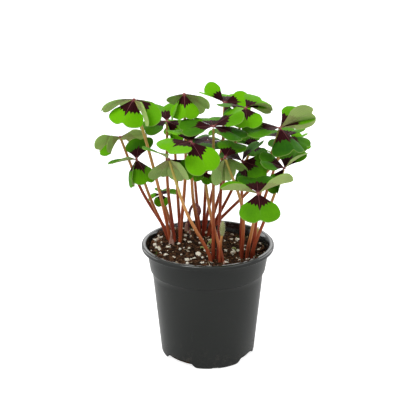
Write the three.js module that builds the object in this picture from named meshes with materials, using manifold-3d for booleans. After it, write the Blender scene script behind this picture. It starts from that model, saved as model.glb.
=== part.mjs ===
// A potted iron cross oxalis (Oxalis tetraphylla): four-leaflet leaves on long bare petioles, which
// rise in clumps from bulbs set in peaty potting mix, in a thin plastic nursery pot.
// Units are millimetres, +Z is up, the pot's axis is the Z axis and its floor rests on z = 0.
// Bearings are degrees seen from above: 0 is +X, 90 is +Y, and -Y is the plant's front.
import * as THREE from "three";
import { mergeVertices } from "three/addons/utils/BufferGeometryUtils.js";
import Module from "manifold-3d";

const wasm = await Module();
wasm.setup();

// Pot, a 4.5 inch round nursery pot
const POT = {
  height: 102,
  wall: 1.4,
  floor: 1.6,
  lipRadius: 57,
  lipDrop: 4.5,
  throatRadius: 53.4,
  neckRadius: 52.6,
  collarFootRadius: 49.9,
  collarFootHeight: 78.5,
  bodyTopRadius: 48.2,
  bodyTopHeight: 77.3,
  bodyFootRadius: 41.3,
  bodyFootHeight: 3.2,
  baseRadius: 39.4,
  segments: 36,
};
// Notches in the foot: [bearing, width at the top, height], each side splayed outwards by the splay.
const NOTCHES = [[-128, 23, 6.2], [-33, 17, 6.2], [52, 23, 6.2], [147, 17, 6.2], [-81, 5, 1.5]];
const DRAIN = { splay: 0.95, innerRadius: 30.5, outerRadius: 45 };

// Potting mix
const MIX = { height: 93.5, crown: 1.5, crumb: 1.7, rings: 6, segments: 26, clearance: 0.35 };
const HEAP = { x: -40, y: 33, rise: 8.5, spread: 22 };

// Bulbs and clumps
const BULB = { crownHeight: 78, crownRadius: 6.2, bellyRadius: 7.5, bellyHeight: 70, rootHeight: 60, segments: 8 };
const FOOT_RING = 5.2;
const CLUMPS = {
  left: [-28, 13],
  middle: [-4, 34],
  front: [8, -22],
  right: [33, -10],
};

// Petioles
const PETIOLE = { footRadius: 1.55, tipRadius: 1.05, sides: 6, steps: 6, risesFrom: 0.4 };

// Leaflets, in shares of a leaflet's length unless they are angles
const LEAFLET = {
  halfAngle: 47,
  baseSqueeze: 0.26,
  notchDepth: 0.09,
  notchAngle: 7,
  shoulderDrop: 0.4,
  thickness: 0.7,
  curl: 0.16,
  wave: 0.02,
};
// Rows of points across a leaflet, from its hub to its margin: [share of the length, rays across]
const ROWS = [
  [0, [0]],
  [0.32, [-1, 0, 1]],
  [0.7, [-1, -0.5, 0, 0.5, 1]],
  [1, [-1, -0.82, -0.54, -0.24, 0, 0.24, 0.54, 0.82, 1]],
];
const HUB = { radius: 1.4, sides: 6, rows: 3 };

// Each leaf: the clump it grows from and the bearing of its foot on that clump's ring, the hub where
// its leaflets meet, the petiole's sideways bow at mid height, and the leaflets' length.
// Each leaflet: bearing, pitch of its chord (down is negative), roll (positive lifts the side to the
// left of the bearing), fold along the midrib (positive is a valley, negative a roof) and arch.
const LEAVES = [
  { clump: "left", foot: -135, hub: [-58, -25, 231], bow: [2, -2], length: 28,
    leaflets: [[-114, -38, -16, -20, 50], [-176, -21, 20, 4, 40], [-55, -46, -16, 58, 30], [85, -34, 0, 10, 30]] },
  { clump: "left", foot: -98, hub: [-34, 10, 205.5], bow: [-3, 2], length: 24,
    leaflets: [[-150, -16, -10, 0, 36], [100, 22, 0, 16, 20], [0, -34, 16, 8, 30], [-64, -56, 0, 62, 30]] },
  { clump: "left", foot: -48, hub: [-19, -8, 232], bow: [3, 0], length: 24,
    leaflets: [[-86, -50, 0, -24, 44], [-152, -62, 26, 4, 40], [8, -38, -40, -6, 36], [100, -34, 0, 8, 30]] },
  { clump: "front", foot: 81, hub: [14, 20, 219], bow: [0, 3], length: 23,
    leaflets: [[147, 14, -25, 45, 30], [6, -4, 38, 8, 30], [78, 6, 0, 10, 24], [-66, -12, 0, -60, 18]] },
  { clump: "middle", foot: -44, hub: [30.5, -10, 221], bow: [0, 3], length: 24,
    leaflets: [[4, -10, -26, 0, 80], [-88, -33, 0, 10, 30], [157, 3, 9, 0, 22], [50, 6, 20, 8, 24]] },
  { clump: "front", foot: 130, hub: [4.5, -26, 209.5], bow: [0, -2], length: 28,
    leaflets: [[-3, 29, 14, -6, 24], [-23, -17, 2, 4, 24], [-166, -5, -12, 8, 28], [98, 0, 0, 12, 20]] },
  { clump: "middle", foot: -140, hub: [-13, -44, 201.5], bow: [-2, -6], length: 29,
    leaflets: [[-134, -5, -8, 6, 30], [-42, -52, 20, 4, 42], [104, 5, 0, 10, 26], [48, -60, 0, 10, 30]] },
  { clump: "left", foot: 170, hub: [-59, -6, 177], bow: [-2, 4], length: 24,
    leaflets: [[82, 34, -14, 4, 16], [-150, -4, 18, 14, 20], [-98, -66, 70, 20, 20], [-48, -50, 0, -12, 36]] },
  { clump: "left", foot: 130, hub: [-74, 14, 191], bow: [-4, 0], length: 23,
    leaflets: [[-172, -34, 42, 20, 40], [4, -10, -48, 8, 30], [-112, -30, 52, 40, 24], [100, -22, 0, 10, 24]] },
  { clump: "front", foot: -165, hub: [-31, -34, 185], bow: [-3, -4], length: 24,
    leaflets: [[128, -56, 0, 4, 30], [16, -54, -35, -6, 30], [-140, 26, 0, 10, 30], [-30, -44, 10, 66, 20]] },
  { clump: "middle", foot: -92, hub: [0, 16, 187], bow: [0, 2], length: 23,
    leaflets: [[-68, -6, 0, 8, 30], [130, -8, 0, 12, 24], [-150, -12, 0, 10, 30], [50, -12, 0, 10, 24]] },
  { clump: "right", foot: -4, hub: [58, -16, 206], bow: [-4, 6], length: 31,
    leaflets: [[38, 9, 16, 24, 16], [2, 23, -50, 2, 24], [-68, -26, 6, -36, 34], [-162, -6, -8, 8, 34]] },
  { clump: "middle", foot: 2, hub: [38, 12, 183], bow: [0, 0], length: 18,
    leaflets: [[30, -24, 0, 6, 26], [150, 4, 0, 24, 24], [104, 28, 0, 8, 20], [-80, -14, 0, 12, 24]] },
  { clump: "right", foot: 84, hub: [66, 30, 186], bow: [0, 0], length: 24,
    leaflets: [[-24, -16, 14, -4, 34], [60, 8, 0, 16, 20], [150, 0, 0, 10, 24], [-100, -10, 0, 10, 24]] },
  { clump: "middle", foot: 45, hub: [76, 50, 176], bow: [0, 0], length: 17,
    leaflets: [[-50, -10, 6, 4, 30], [-128, -30, 0, 8, 30], [52, 16, 0, 30, 20], [140, 0, 0, 10, 24]] },
  { clump: "right", foot: -135, hub: [13.5, -40, 188], bow: [7, -3], length: 23,
    leaflets: [[66, 18, 8, 6, 24], [20, -36, -14, -8, 50], [84, -78, 0, 50, 24], [170, -84, 0, 40, 20]] },
  { clump: "right", foot: 150, hub: [28, -18, 179], bow: [0, 0], length: 24,
    leaflets: [[-14, -20, 52, 0, 20], [34, 34, -20, 10, 30], [150, 4, 0, 12, 24], [-52, -75, 0, 8, 30]] },
  { clump: "right", foot: -44, hub: [62, -22, 174], bow: [0, 0], length: 23,
    leaflets: [[52, 30, 0, 4, 20], [-170, 20, -22, 10, 24], [-4, 34, -18, 10, 20], [-124, -62, 0, 60, 24]] },
  { clump: "right", foot: -90, hub: [39, -58, 164], bow: [0, -4], length: 30,
    leaflets: [[-88, -34, 0, -4, 50], [-178, 4, 14, 26, 24], [90, 8, 0, 10, 24], [1, 20, -30, 18, 24]] },
  { clump: "left", foot: 88, hub: [-41, 36, 133], bow: [0, 0], length: 14,
    leaflets: [[180, -30, 0, 20, 30], [0, 0, 0, 20, 30], [90, 0, 0, 20, 24], [-90, -40, 0, 30, 24]] },
  { clump: "front", foot: -30, hub: [-3, 0, 164], bow: [-2, 0], length: 14,
    leaflets: [[-60, -34, 0, 8, 30], [-140, -24, 0, 8, 30], [76, -10, 0, 10, 24], [160, 0, 0, 10, 24]] },
  { clump: "left", foot: 40, hub: [-30, 44, 194], bow: [0, 0], length: 14,
    leaflets: [[-98, -30, 0, 10, 30], [168, 0, 0, 16, 20], [80, 6, 0, 10, 24], [0, -18, 0, 10, 30]] },
  { clump: "middle", foot: 131, hub: [-14, 46, 176], bow: [0, 0], length: 16,
    leaflets: [[-20, -28, 0, 8, 36], [70, -10, 0, 10, 30], [160, -6, 0, 10, 30], [-110, -10, 0, 10, 30]] },
  { clump: "middle", foot: 88, hub: [16, 62, 186], bow: [0, 0], length: 17,
    leaflets: [[0, -20, 0, 10, 30], [90, -35, 0, 8, 40], [180, -20, 0, 10, 30], [-90, 4, 0, 10, 24]] },
];

// Young growth: points along each piece with its radius there, as [x, y, z, radius].
const SHOOTS = {
  furled_leaf: [
    [9.4, -27.2, 78.4, 1.1], [9.8, -27, 97.6, 1.1], [11.3, -28, 116, 1], [11.8, -28, 119, 2.1],
    [12.1, -28, 123.5, 2.6], [12.2, -28, 128, 1.8], [12.2, -28, 130.7, 0.5],
  ],
  hooked_shoot: [
    [-9.2, 34.4, 79, 1.5], [-19, 34.6, 93.2, 1.5], [-17.3, 32, 108.3, 1.4], [-15.4, 30, 121, 1.2],
    [-12, 28.6, 126, 1.1], [-8.4, 27.6, 124.6, 1.3], [-7.4, 27.2, 120, 1.7], [-8, 27.2, 115.5, 0.5],
  ],
  cut_stub: [
    [36.9, -6.6, 78.4, 1.5], [38.4, -5, 91.9, 1.5], [40.6, -5.6, 105, 1.4], [42.2, -6, 117, 1.3],
  ],
};
const SHOOT_STEPS = 10;

const COLOURS = {
  pot: { color: 0x1b1d1d, roughness: 0.42 },
  mix: { color: 0x35251a, roughness: 0.95 },
  bulb: { color: 0x6b4a30, roughness: 0.8 },
  petiole: { color: 0x9a4a2c, roughness: 0.5 },
  blade: { color: 0x3f9420, roughness: 0.5 },
  shoot: { color: 0x9c9a5c, roughness: 0.7 },
};

const radians = THREE.MathUtils.degToRad;

// Turns a closed geometry into a solid that can be joined and cut.
function solidOf(geometry) {
  const bare = geometry.index ? geometry.toNonIndexed() : geometry.clone();
  bare.deleteAttribute("normal");
  bare.deleteAttribute("uv");
  const merged = mergeVertices(bare, 1e-4);
  return new wasm.Manifold(
    new wasm.Mesh({
      numProp: 3,
      vertProperties: merged.attributes.position.array,
      triVerts: new Uint32Array(merged.index.array),
    }),
  );
}

// Turns a solid back into a geometry.
function geometryOf(solid) {
  const { vertProperties, triVerts } = solid.getMesh();
  const geometry = new THREE.BufferGeometry();
  geometry.setAttribute("position", new THREE.BufferAttribute(vertProperties, 3));
  geometry.setIndex(new THREE.BufferAttribute(triVerts, 1));
  geometry.computeVertexNormals();
  return geometry;
}

// Makes the named mesh of a sub-part.
function meshOf(name, geometry, look) {
  const mesh = new THREE.Mesh(geometry, new THREE.MeshStandardMaterial({ metalness: 0, ...look }));
  mesh.name = name;
  return mesh;
}

// Turns a profile of [radius, height] points about the Z axis.
function turned(profile, segments) {
  const points = profile.map(([radius, height]) => new THREE.Vector2(radius, height));
  return new THREE.LatheGeometry(points, segments).rotateX(Math.PI / 2);
}

// A geometry from a list of points and a list of triangles.
function faceted(points, triangles) {
  const geometry = new THREE.BufferGeometry().setFromPoints(points);
  geometry.setIndex(triangles.flat());
  return geometry.toNonIndexed();
}

// A repeatable number from 0 to 1 for the counter n.
function draw(n) {
  const spread = Math.sin(n * 12.9898 + 4.1414) * 43758.5453;
  return spread - Math.floor(spread);
}

// Pot

function potGeometry() {
  const p = POT;
  const lipFoot = p.height - p.lipDrop;
  const profile = [
    [0, 0],
    [p.baseRadius, 0],
    [p.bodyFootRadius, p.bodyFootHeight],
    [p.bodyTopRadius, p.bodyTopHeight],
    [p.collarFootRadius, p.collarFootHeight],
    [p.neckRadius, lipFoot - 0.6],
    [p.lipRadius - 1.2, lipFoot],
    [p.lipRadius, lipFoot + 1.4],
    [p.lipRadius - 0.4, p.height - 1.1],
    [p.lipRadius - 1.6, p.height],
    [p.throatRadius + 0.4, p.height - 0.2],
    [p.throatRadius - 0.8, p.height - 1.8],
    [p.neckRadius - p.wall, lipFoot - 0.8],
    [p.collarFootRadius - p.wall, p.collarFootHeight],
    [p.bodyTopRadius - p.wall, p.bodyTopHeight - 1],
    [p.bodyFootRadius - p.wall, p.bodyFootHeight],
    [p.baseRadius - p.wall, p.floor],
    [0, p.floor],
  ];
  let pot = solidOf(turned(profile, p.segments));
  for (const notch of NOTCHES) pot = pot.subtract(drainCutter(notch));
  return geometryOf(pot);
}

// The block that cuts one drainage notch through the wall and the edge of the floor.
function drainCutter([bearing, width, height]) {
  const { splay, innerRadius, outerRadius } = DRAIN;
  const below = -1;
  const half = width / 2;
  const foot = half + splay * (height - below);
  const outline = new THREE.Shape([
    new THREE.Vector2(-foot, below),
    new THREE.Vector2(foot, below),
    new THREE.Vector2(half, height),
    new THREE.Vector2(-half, height),
  ]);
  const block = new THREE.ExtrudeGeometry(outline, {
    depth: outerRadius - innerRadius,
    bevelEnabled: false,
  });
  block.rotateX(Math.PI / 2).translate(0, outerRadius, 0);
  block.rotateZ(radians(bearing - 90));
  return solidOf(block);
}

// Bulbs and petioles

function bulbProfile(grow) {
  const b = BULB;
  return [
    [0, b.rootHeight - grow],
    [2.4 + grow, b.rootHeight - grow],
    [b.bellyRadius + grow, b.bellyHeight],
    [b.crownRadius + grow, b.crownHeight + grow],
    [0, b.crownHeight + grow],
  ];
}

function bulbGeometry([x, y], grow = 0) {
  return turned(bulbProfile(grow), BULB.segments).translate(x, y, 0);
}

// The points along a petiole, from the crown of its bulb to just under the hub of its leaf.
function petiolePoints({ clump, foot, hub, bow }) {
  const [cx, cy] = CLUMPS[clump];
  const x = cx + FOOT_RING * Math.cos(radians(foot));
  const y = cy + FOOT_RING * Math.sin(radians(foot));
  const start = new THREE.Vector3(x, y, BULB.crownHeight + PETIOLE.risesFrom);
  const end = new THREE.Vector3(...hub);
  const soilPoint = new THREE.Vector3(x, y, MIX.height).lerp(end, 0.03);
  const middle = soilPoint.clone().lerp(end, 0.5).add(new THREE.Vector3(...bow, 0));
  end.addScaledVector(end.clone().sub(middle).normalize(), -(HUB.radius + 0.3));
  const { footRadius, tipRadius } = PETIOLE;
  const waist = (footRadius + tipRadius) / 2;
  return [
    [...start, footRadius],
    [...soilPoint, footRadius],
    [...middle, waist],
    [...end, tipRadius],
  ];
}

// A closed round tube through points given as [x, y, z, radius], grown outwards by a gap.
function taperedTube(stations, steps, grow = 0) {
  const sides = PETIOLE.sides;
  const centres = stations.map(([x, y, z]) => new THREE.Vector3(x, y, z));
  const curve = new THREE.CatmullRomCurve3(centres, false, "centripetal");
  const normal = new THREE.Vector3(1, 0, 0);
  const points = [];
  for (let i = 0; i <= steps; i++) {
    const place = (i / steps) * (stations.length - 1);
    const before = Math.min(Math.floor(place), stations.length - 2);
    const radius = THREE.MathUtils.lerp(stations[before][3], stations[before + 1][3], place - before) + grow;
    const centre = curve.getPoint(i / steps);
    const tangent = curve.getTangent(i / steps);
    if (i === 0) centre.addScaledVector(tangent, -grow);
    if (i === steps) centre.addScaledVector(tangent, grow);
    normal.addScaledVector(tangent, -normal.dot(tangent)).normalize();
    const binormal = tangent.clone().cross(normal);
    for (let k = 0; k < sides; k++) {
      const turn = (2 * Math.PI * k) / sides;
      const across = normal.clone().multiplyScalar(Math.cos(turn) * radius);
      across.addScaledVector(binormal, Math.sin(turn) * radius);
      points.push(centre.clone().add(across));
    }
  }
  const triangles = [];
  for (let i = 0; i < steps; i++) {
    for (let k = 0; k < sides; k++) {
      const [a, b] = [i * sides + k, i * sides + ((k + 1) % sides)];
      triangles.push([a, b, b + sides], [a, b + sides, a + sides]);
    }
  }
  const last = steps * sides;
  for (let k = 1; k < sides - 1; k++) {
    triangles.push([0, k + 1, k], [last, last + k, last + k + 1]);
  }
  return faceted(points, triangles);
}

// Leaf blades

// A leaflet's outline: the distance from hub to margin at an angle off the midrib.
function marginRadius(share) {
  const angle = Math.abs(share) * LEAFLET.halfAngle;
  const notch = LEAFLET.notchDepth * Math.exp(-((angle / LEAFLET.notchAngle) ** 2));
  return 1 - notch - LEAFLET.shoulderDrop * Math.abs(share) ** 5;
}

// The point of a leaflet's middle surface at a ray (-1 to 1 across) and a ring (0 hub, 1 margin).
function leafletPoint(leaf, leaflet, phase, ray, ring) {
  const [bearing, pitch, roll, fold, arch] = leaflet.map(radians);
  const reach = ring * marginRadius(ray);
  const squeeze = 1 - LEAFLET.baseSqueeze * (1 - ring);
  const angle = radians(LEAFLET.halfAngle) * ray * squeeze;
  const along = reach * Math.cos(angle);
  const across = reach * Math.sin(angle);

  const forward = new THREE.Vector3(
    Math.cos(pitch) * Math.cos(bearing),
    Math.cos(pitch) * Math.sin(bearing),
    Math.sin(pitch),
  );
  const level = new THREE.Vector3(-Math.sin(bearing), Math.cos(bearing), 0);
  const upright = forward.clone().cross(level);
  const left = level.clone().multiplyScalar(Math.cos(roll)).addScaledVector(upright, Math.sin(roll));
  const up = upright.multiplyScalar(Math.cos(roll)).addScaledVector(level, -Math.sin(roll));

  const slope = arch / 2 - arch * along;
  const run = (Math.sin(arch / 2) - Math.sin(slope)) / arch;
  const rise = (Math.cos(slope) - Math.cos(arch / 2)) / arch;
  const lift =
    Math.abs(across) * Math.sin(fold) -
    LEAFLET.curl * across ** 2 * Math.cos(fold) +
    LEAFLET.wave * ring ** 2 * Math.sin(7 * ray + phase);

  const normal = up.clone().multiplyScalar(Math.cos(slope)).addScaledVector(forward, -Math.sin(slope));
  return new THREE.Vector3(...leaf.hub)
    .addScaledVector(forward, run * leaf.length)
    .addScaledVector(up, rise * leaf.length)
    .addScaledVector(left, across * Math.cos(fold) * leaf.length)
    .addScaledVector(normal, lift * leaf.length);
}

// One leaflet as a thin closed blade, split into triangles alike on both faces.
function leafletGeometry(leaf, leaflet, phase) {
  const surface = (ray, ring) => leafletPoint(leaf, leaflet, phase, ray, ring);
  const step = 0.02;
  const normalAt = (ray, ring) => {
    const outward = surface(ray, ring).sub(surface(ray, ring - step));
    const sideways = surface(ray + step, ring).sub(surface(ray - step, ring));
    return outward.cross(sideways).normalize();
  };
  const half = LEAFLET.thickness / 2;
  const top = [];
  const bottom = [];
  for (const [ring, rays] of ROWS) {
    for (const ray of rays) {
      const normal = normalAt(ray, Math.max(ring, 0.2));
      top.push(surface(ray, ring).addScaledVector(normal, half));
      bottom.push(surface(ray, ring).addScaledVector(normal, -half));
    }
  }
  const count = top.length;
  const face = [[0, 2, 3], [0, 1, 2]];
  let inner = 1;
  for (let row = 1; row < ROWS.length - 1; row++) {
    const innerSpans = ROWS[row][1].length - 1;
    const outer = inner + innerSpans + 1;
    const ratio = (ROWS[row + 1][1].length - 1) / innerSpans;
    for (let span = 0; span < innerSpans; span++) {
      const [a, b] = [inner + span, inner + span + 1];
      const split = span < innerSpans / 2 ? Math.ceil(ratio / 2) : Math.floor(ratio / 2);
      for (let k = 0; k < ratio; k++) {
        const [c, d] = [outer + span * ratio + k, outer + span * ratio + k + 1];
        face.push([k < split ? a : b, c, d]);
      }
      face.push([a, outer + span * ratio + split, b]);
    }
    inner = outer;
  }
  const starts = ROWS.map((_, row) => ROWS.slice(0, row).reduce((sum, [, rays]) => sum + rays.length, 0));
  const ends = ROWS.map(([, rays], row) => starts[row] + rays.length - 1);
  const margin = ROWS.at(-1)[1].map((_, k) => inner + k);
  const edge = [...starts.slice(0, -1), ...margin, ...ends.slice(1, -1).reverse()];
  const rim = edge.flatMap((a, i) => {
    const b = edge[(i + 1) % edge.length];
    return [[a, a + count, b + count], [a, b + count, b]];
  });
  const under = face.map(([a, b, c]) => [a + count, c + count, b + count]);
  return faceted([...top, ...bottom], [...face, ...under, ...rim]);
}

// The four leaflets of a leaf, joined at its hub.
function bladeSolid(leaf, index) {
  let blade = solidOf(
    new THREE.SphereGeometry(HUB.radius, HUB.sides, HUB.rows)
      .rotateX(Math.PI / 2)
      .translate(...leaf.hub),
  );
  leaf.leaflets.forEach((leaflet, k) => {
    blade = blade.add(solidOf(leafletGeometry(leaf, leaflet, 1.7 * index + 2.1 * k)));
  });
  return blade;
}

// Potting mix

function mixGeometry(holes) {
  const p = POT;
  const gap = MIX.clearance;
  const wallRadius = THREE.MathUtils.mapLinear(
    MIX.height, p.collarFootHeight, p.height - p.lipDrop, p.collarFootRadius, p.neckRadius,
  ) - p.wall - gap;
  const points = [];
  for (let ring = 0; ring <= MIX.rings; ring++) {
    const count = ring === 0 ? 1 : MIX.segments;
    for (let k = 0; k < count; k++) {
      const share = ring / MIX.rings;
      const turn = (2 * Math.PI * (k + (ring % 2) / 2)) / MIX.segments;
      const radius = wallRadius * share;
      points.push(new THREE.Vector3(radius * Math.cos(turn), radius * Math.sin(turn),
        mixHeight(radius * Math.cos(turn), radius * Math.sin(turn)) +
          (ring < MIX.rings ? MIX.crumb * (draw(ring * MIX.segments + k) - 0.5) : -0.4)));
    }
  }
  const sideRows = [
    [p.collarFootRadius - p.wall - gap, p.collarFootHeight + 0.3],
    [p.bodyTopRadius - p.wall - gap, p.bodyTopHeight - 0.7],
    [p.bodyFootRadius - p.wall - gap, p.bodyFootHeight],
    [p.baseRadius - p.wall - gap, p.floor + gap],
  ];
  const shift = (MIX.rings % 2) / 2;
  for (const [radius, height] of sideRows) {
    for (let k = 0; k < MIX.segments; k++) {
      const turn = (2 * Math.PI * (k + shift)) / MIX.segments;
      points.push(new THREE.Vector3(radius * Math.cos(turn), radius * Math.sin(turn), height));
    }
  }
  points.push(new THREE.Vector3(0, 0, p.floor + gap));

  const n = MIX.segments;
  const rowStart = (row) => 1 + (row - 1) * n;
  const rows = MIX.rings + sideRows.length;
  const triangles = [];
  for (let k = 0; k < n; k++) {
    const next = (k + 1) % n;
    triangles.push([0, rowStart(1) + k, rowStart(1) + next]);
    for (let row = 1; row < rows; row++) {
      const [a, b] = [rowStart(row) + k, rowStart(row) + next];
      const [c, d] = [rowStart(row + 1) + next, rowStart(row + 1) + k];
      const staggered = row < MIX.rings;
      const leanLeft = staggered && row % 2 === 0;
      if (leanLeft || !staggered) triangles.push([a, d, c], [a, c, b]);
      else triangles.push([a, d, b], [b, d, c]);
    }
    triangles.push([rowStart(rows) + k, points.length - 1, rowStart(rows) + next]);
  }
  let mix = solidOf(faceted(points, triangles));
  for (const hole of holes) mix = mix.subtract(hole);
  return geometryOf(mix);
}

// The height of the mix before its crumbs, heaped up to the lip at the back left.
function mixHeight(x, y) {
  const heap = Math.exp(-((x - HEAP.x) ** 2 + (y - HEAP.y) ** 2) / (2 * HEAP.spread ** 2));
  const swell = Math.sin(0.045 * (y - x) + 0.5) * Math.cos(0.03 * (x + y));
  return MIX.height + MIX.crown * swell + HEAP.rise * heap;
}

// Assembly

const plant = new THREE.Group();
const holes = [];

plant.add(meshOf("pot", potGeometry(), COLOURS.pot));

Object.entries(CLUMPS).forEach(([name, centre]) => {
  plant.add(meshOf(`bulb_${name}`, bulbGeometry(centre), COLOURS.bulb));
  holes.push(solidOf(bulbGeometry(centre, MIX.clearance)));
});

LEAVES.forEach((leaf, index) => {
  const label = String(index + 1).padStart(2, "0");
  const stations = petiolePoints(leaf);
  const clearing = solidOf(taperedTube(stations, PETIOLE.steps, MIX.clearance));
  holes.push(clearing);
  plant.add(meshOf(`petiole_${label}`, taperedTube(stations, PETIOLE.steps), COLOURS.petiole));
  plant.add(meshOf(`leaf_${label}`, geometryOf(bladeSolid(leaf, index).subtract(clearing)), COLOURS.blade));
});

Object.entries(SHOOTS).forEach(([name, stations]) => {
  holes.push(solidOf(taperedTube(stations, SHOOT_STEPS, MIX.clearance)));
  plant.add(meshOf(name, taperedTube(stations, SHOOT_STEPS), COLOURS.shoot));
});

plant.add(meshOf("potting_mix", mixGeometry(holes), COLOURS.mix));

export default plant;
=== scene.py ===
"""A potted iron cross oxalis, dressed around its fixed frame of solids.

The frame holds the main shapes: a nursery pot, its potting mix, bulbs, petioles, four-leaflet
leaves and three pieces of young growth. This script gives each of them its fine surface and adds
veins, leaf marks, perlite, fibres, hairs and moss. Tables are in millimetres as in the plant's
source, meshes are in metres, +Z is up and -Y is the front.
"""

import logging
import math
import random
from collections.abc import Callable, Iterable, Iterator, Sequence
from contextlib import contextmanager
from dataclasses import dataclass
from enum import Enum

import bpy
from mathutils import Matrix, Vector, noise


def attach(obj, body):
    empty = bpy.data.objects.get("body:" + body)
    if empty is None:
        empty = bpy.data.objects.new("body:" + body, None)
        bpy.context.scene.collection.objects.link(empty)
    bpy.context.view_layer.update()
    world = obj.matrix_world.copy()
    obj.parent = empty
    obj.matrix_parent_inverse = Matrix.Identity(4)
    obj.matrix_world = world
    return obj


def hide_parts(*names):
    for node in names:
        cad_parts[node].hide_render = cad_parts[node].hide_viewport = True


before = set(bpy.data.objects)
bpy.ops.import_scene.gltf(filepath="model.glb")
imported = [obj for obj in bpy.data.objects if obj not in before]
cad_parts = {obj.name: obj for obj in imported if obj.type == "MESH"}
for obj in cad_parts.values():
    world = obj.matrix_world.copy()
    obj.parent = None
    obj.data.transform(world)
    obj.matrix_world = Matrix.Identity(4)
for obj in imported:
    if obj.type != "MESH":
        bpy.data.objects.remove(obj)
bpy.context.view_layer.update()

MM = 0.001
log = logging.getLogger("oxalis")

Piece = bpy.types.Object
Material = bpy.types.Material
NodeTree = bpy.types.NodeTree
Socket = bpy.types.NodeSocket
Pair = tuple[float, float]
Triple = tuple[float, float, float]
Colour = Triple
Stations = Sequence[tuple[float, float, float, float]]


class Slot(Enum):
    """The material slots of the plant's record."""

    POT = "pot"
    MIX = "potting_mix"
    BULB = "bulb"
    PETIOLE = "petiole"
    BLADE = "leaf_blade"
    YOUNG = "young_growth"


# Bench: the hand tools that every maker uses


def put_down() -> None:
    """Leaves nothing selected and no piece in edit mode."""
    if bpy.context.object and bpy.context.object.mode != "OBJECT":
        bpy.ops.object.mode_set(mode="OBJECT")
    bpy.ops.object.select_all(action="DESELECT")


def take(obj: Piece) -> Piece:
    """Selects one piece alone and makes it active."""
    put_down()
    obj.select_set(True)
    bpy.context.view_layer.objects.active = obj
    return obj


def primitive(name: str, add: Callable, **options: object) -> Piece:
    """Adds a primitive at its size and place.

    Args:
        name: The piece's name.
        add: The primitive operator.
        options: What the operator takes.

    Returns:
        The new object, selected alone.
    """
    put_down()
    add(**options)
    obj = bpy.context.object
    obj.name = obj.data.name = name
    return obj


@contextmanager
def editing() -> Iterator[None]:
    """Opens the active piece in edit mode, and closes it again."""
    bpy.ops.object.mode_set(mode="EDIT")
    yield
    bpy.ops.object.mode_set(mode="OBJECT")


def spine(name: str, sides: int, foot: float, tip: float = 0.0) -> Piece:
    """Models a thin cone, one unit tall, that stands on the origin."""
    add = bpy.ops.mesh.primitive_cone_add
    obj = primitive(name, add, vertices=sides, radius1=foot, radius2=tip, depth=1.0, location=(0, 0, 0.5))
    bpy.ops.object.transform_apply(location=True, rotation=True, scale=True)
    return obj


def finish_with(obj: Piece, kind: str, **options: object) -> None:
    """Adds a modifier to a piece and applies it.

    Args:
        obj: The piece.
        kind: The modifier's type.
        options: The modifier's own settings.
    """
    take(obj)
    modifier = obj.modifiers.new(kind.title(), kind)
    for key, value in options.items():
        setattr(modifier, key, value)
    bpy.ops.object.modifier_apply(modifier=modifier.name)


def smooth(obj: Piece, degrees: float = 180.0) -> None:
    """Smooths a piece across edges that bend less than an angle."""
    take(obj)
    bpy.ops.object.shade_smooth_by_angle(angle=math.radians(degrees))


def copied(obj: Piece, name: str, matrix: Matrix | None = None) -> Piece:
    """Copies a piece with a mesh of its own.

    Args:
        obj: The piece to copy.
        name: The copy's name.
        matrix: A move that is put into the copy's mesh.

    Returns:
        The copy, with its object at the origin.
    """
    mesh = obj.data.copy()
    if matrix is not None:
        mesh.transform(matrix)
    twin = bpy.data.objects.new(name, mesh)
    bpy.context.scene.collection.objects.link(twin)
    return twin


def joined(parts: Sequence[Piece], name: str) -> Piece:
    """Joins pieces into the first of them and names it."""
    put_down()
    for part in parts:
        part.select_set(True)
    bpy.context.view_layer.objects.active = parts[0]
    if len(parts) > 1:
        bpy.ops.object.join()
    whole = bpy.context.object
    whole.name = whole.data.name = name
    return whole


def discard(*pieces: Piece) -> None:
    """Removes patterns and cutters that have served."""
    for piece in pieces:
        mesh = piece.data
        bpy.data.objects.remove(piece)
        bpy.data.meshes.remove(mesh)


def reshape(obj: Piece, place: Callable[[Vector], Vector]) -> None:
    """Moves every point of a piece to a new place."""
    for vertex in obj.data.vertices:
        vertex.co = place(vertex.co)
    obj.data.update()


def paint(obj: Piece, name: str, value: Callable[[Vector], Vector]) -> None:
    """Stores a vector on every point of a piece, worked out from where the point is.

    Args:
        obj: The piece.
        name: The attribute's name, which materials read.
        value: Gives the vector at a point.
    """
    layer = obj.data.attributes.new(name, "FLOAT_VECTOR", "POINT")
    for vertex, item in zip(obj.data.vertices, layer.data):
        item.vector = value(vertex.co)


def dress(obj: Piece, *materials: Material) -> None:
    """Gives a piece its materials, in order."""
    obj.data.materials.clear()
    for material in materials:
        obj.data.materials.append(material)


def settle(obj: Piece, slot: Slot, *nodes: str) -> Piece:
    """Fixes a finished piece to the frame.

    Args:
        obj: The piece.
        slot: The record's slot for the piece, not used here.
        nodes: The solids that it stands for.

    Returns:
        The same piece.
    """
    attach(obj, "root")
    if nodes:
        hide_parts(*nodes)
    return obj


def finished(obj: Piece, material: Material, slot: Slot, *nodes: str) -> Piece:
    """Gives a piece its one material and fixes it to the frame."""
    dress(obj, material)
    return settle(obj, slot, *nodes)


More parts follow.
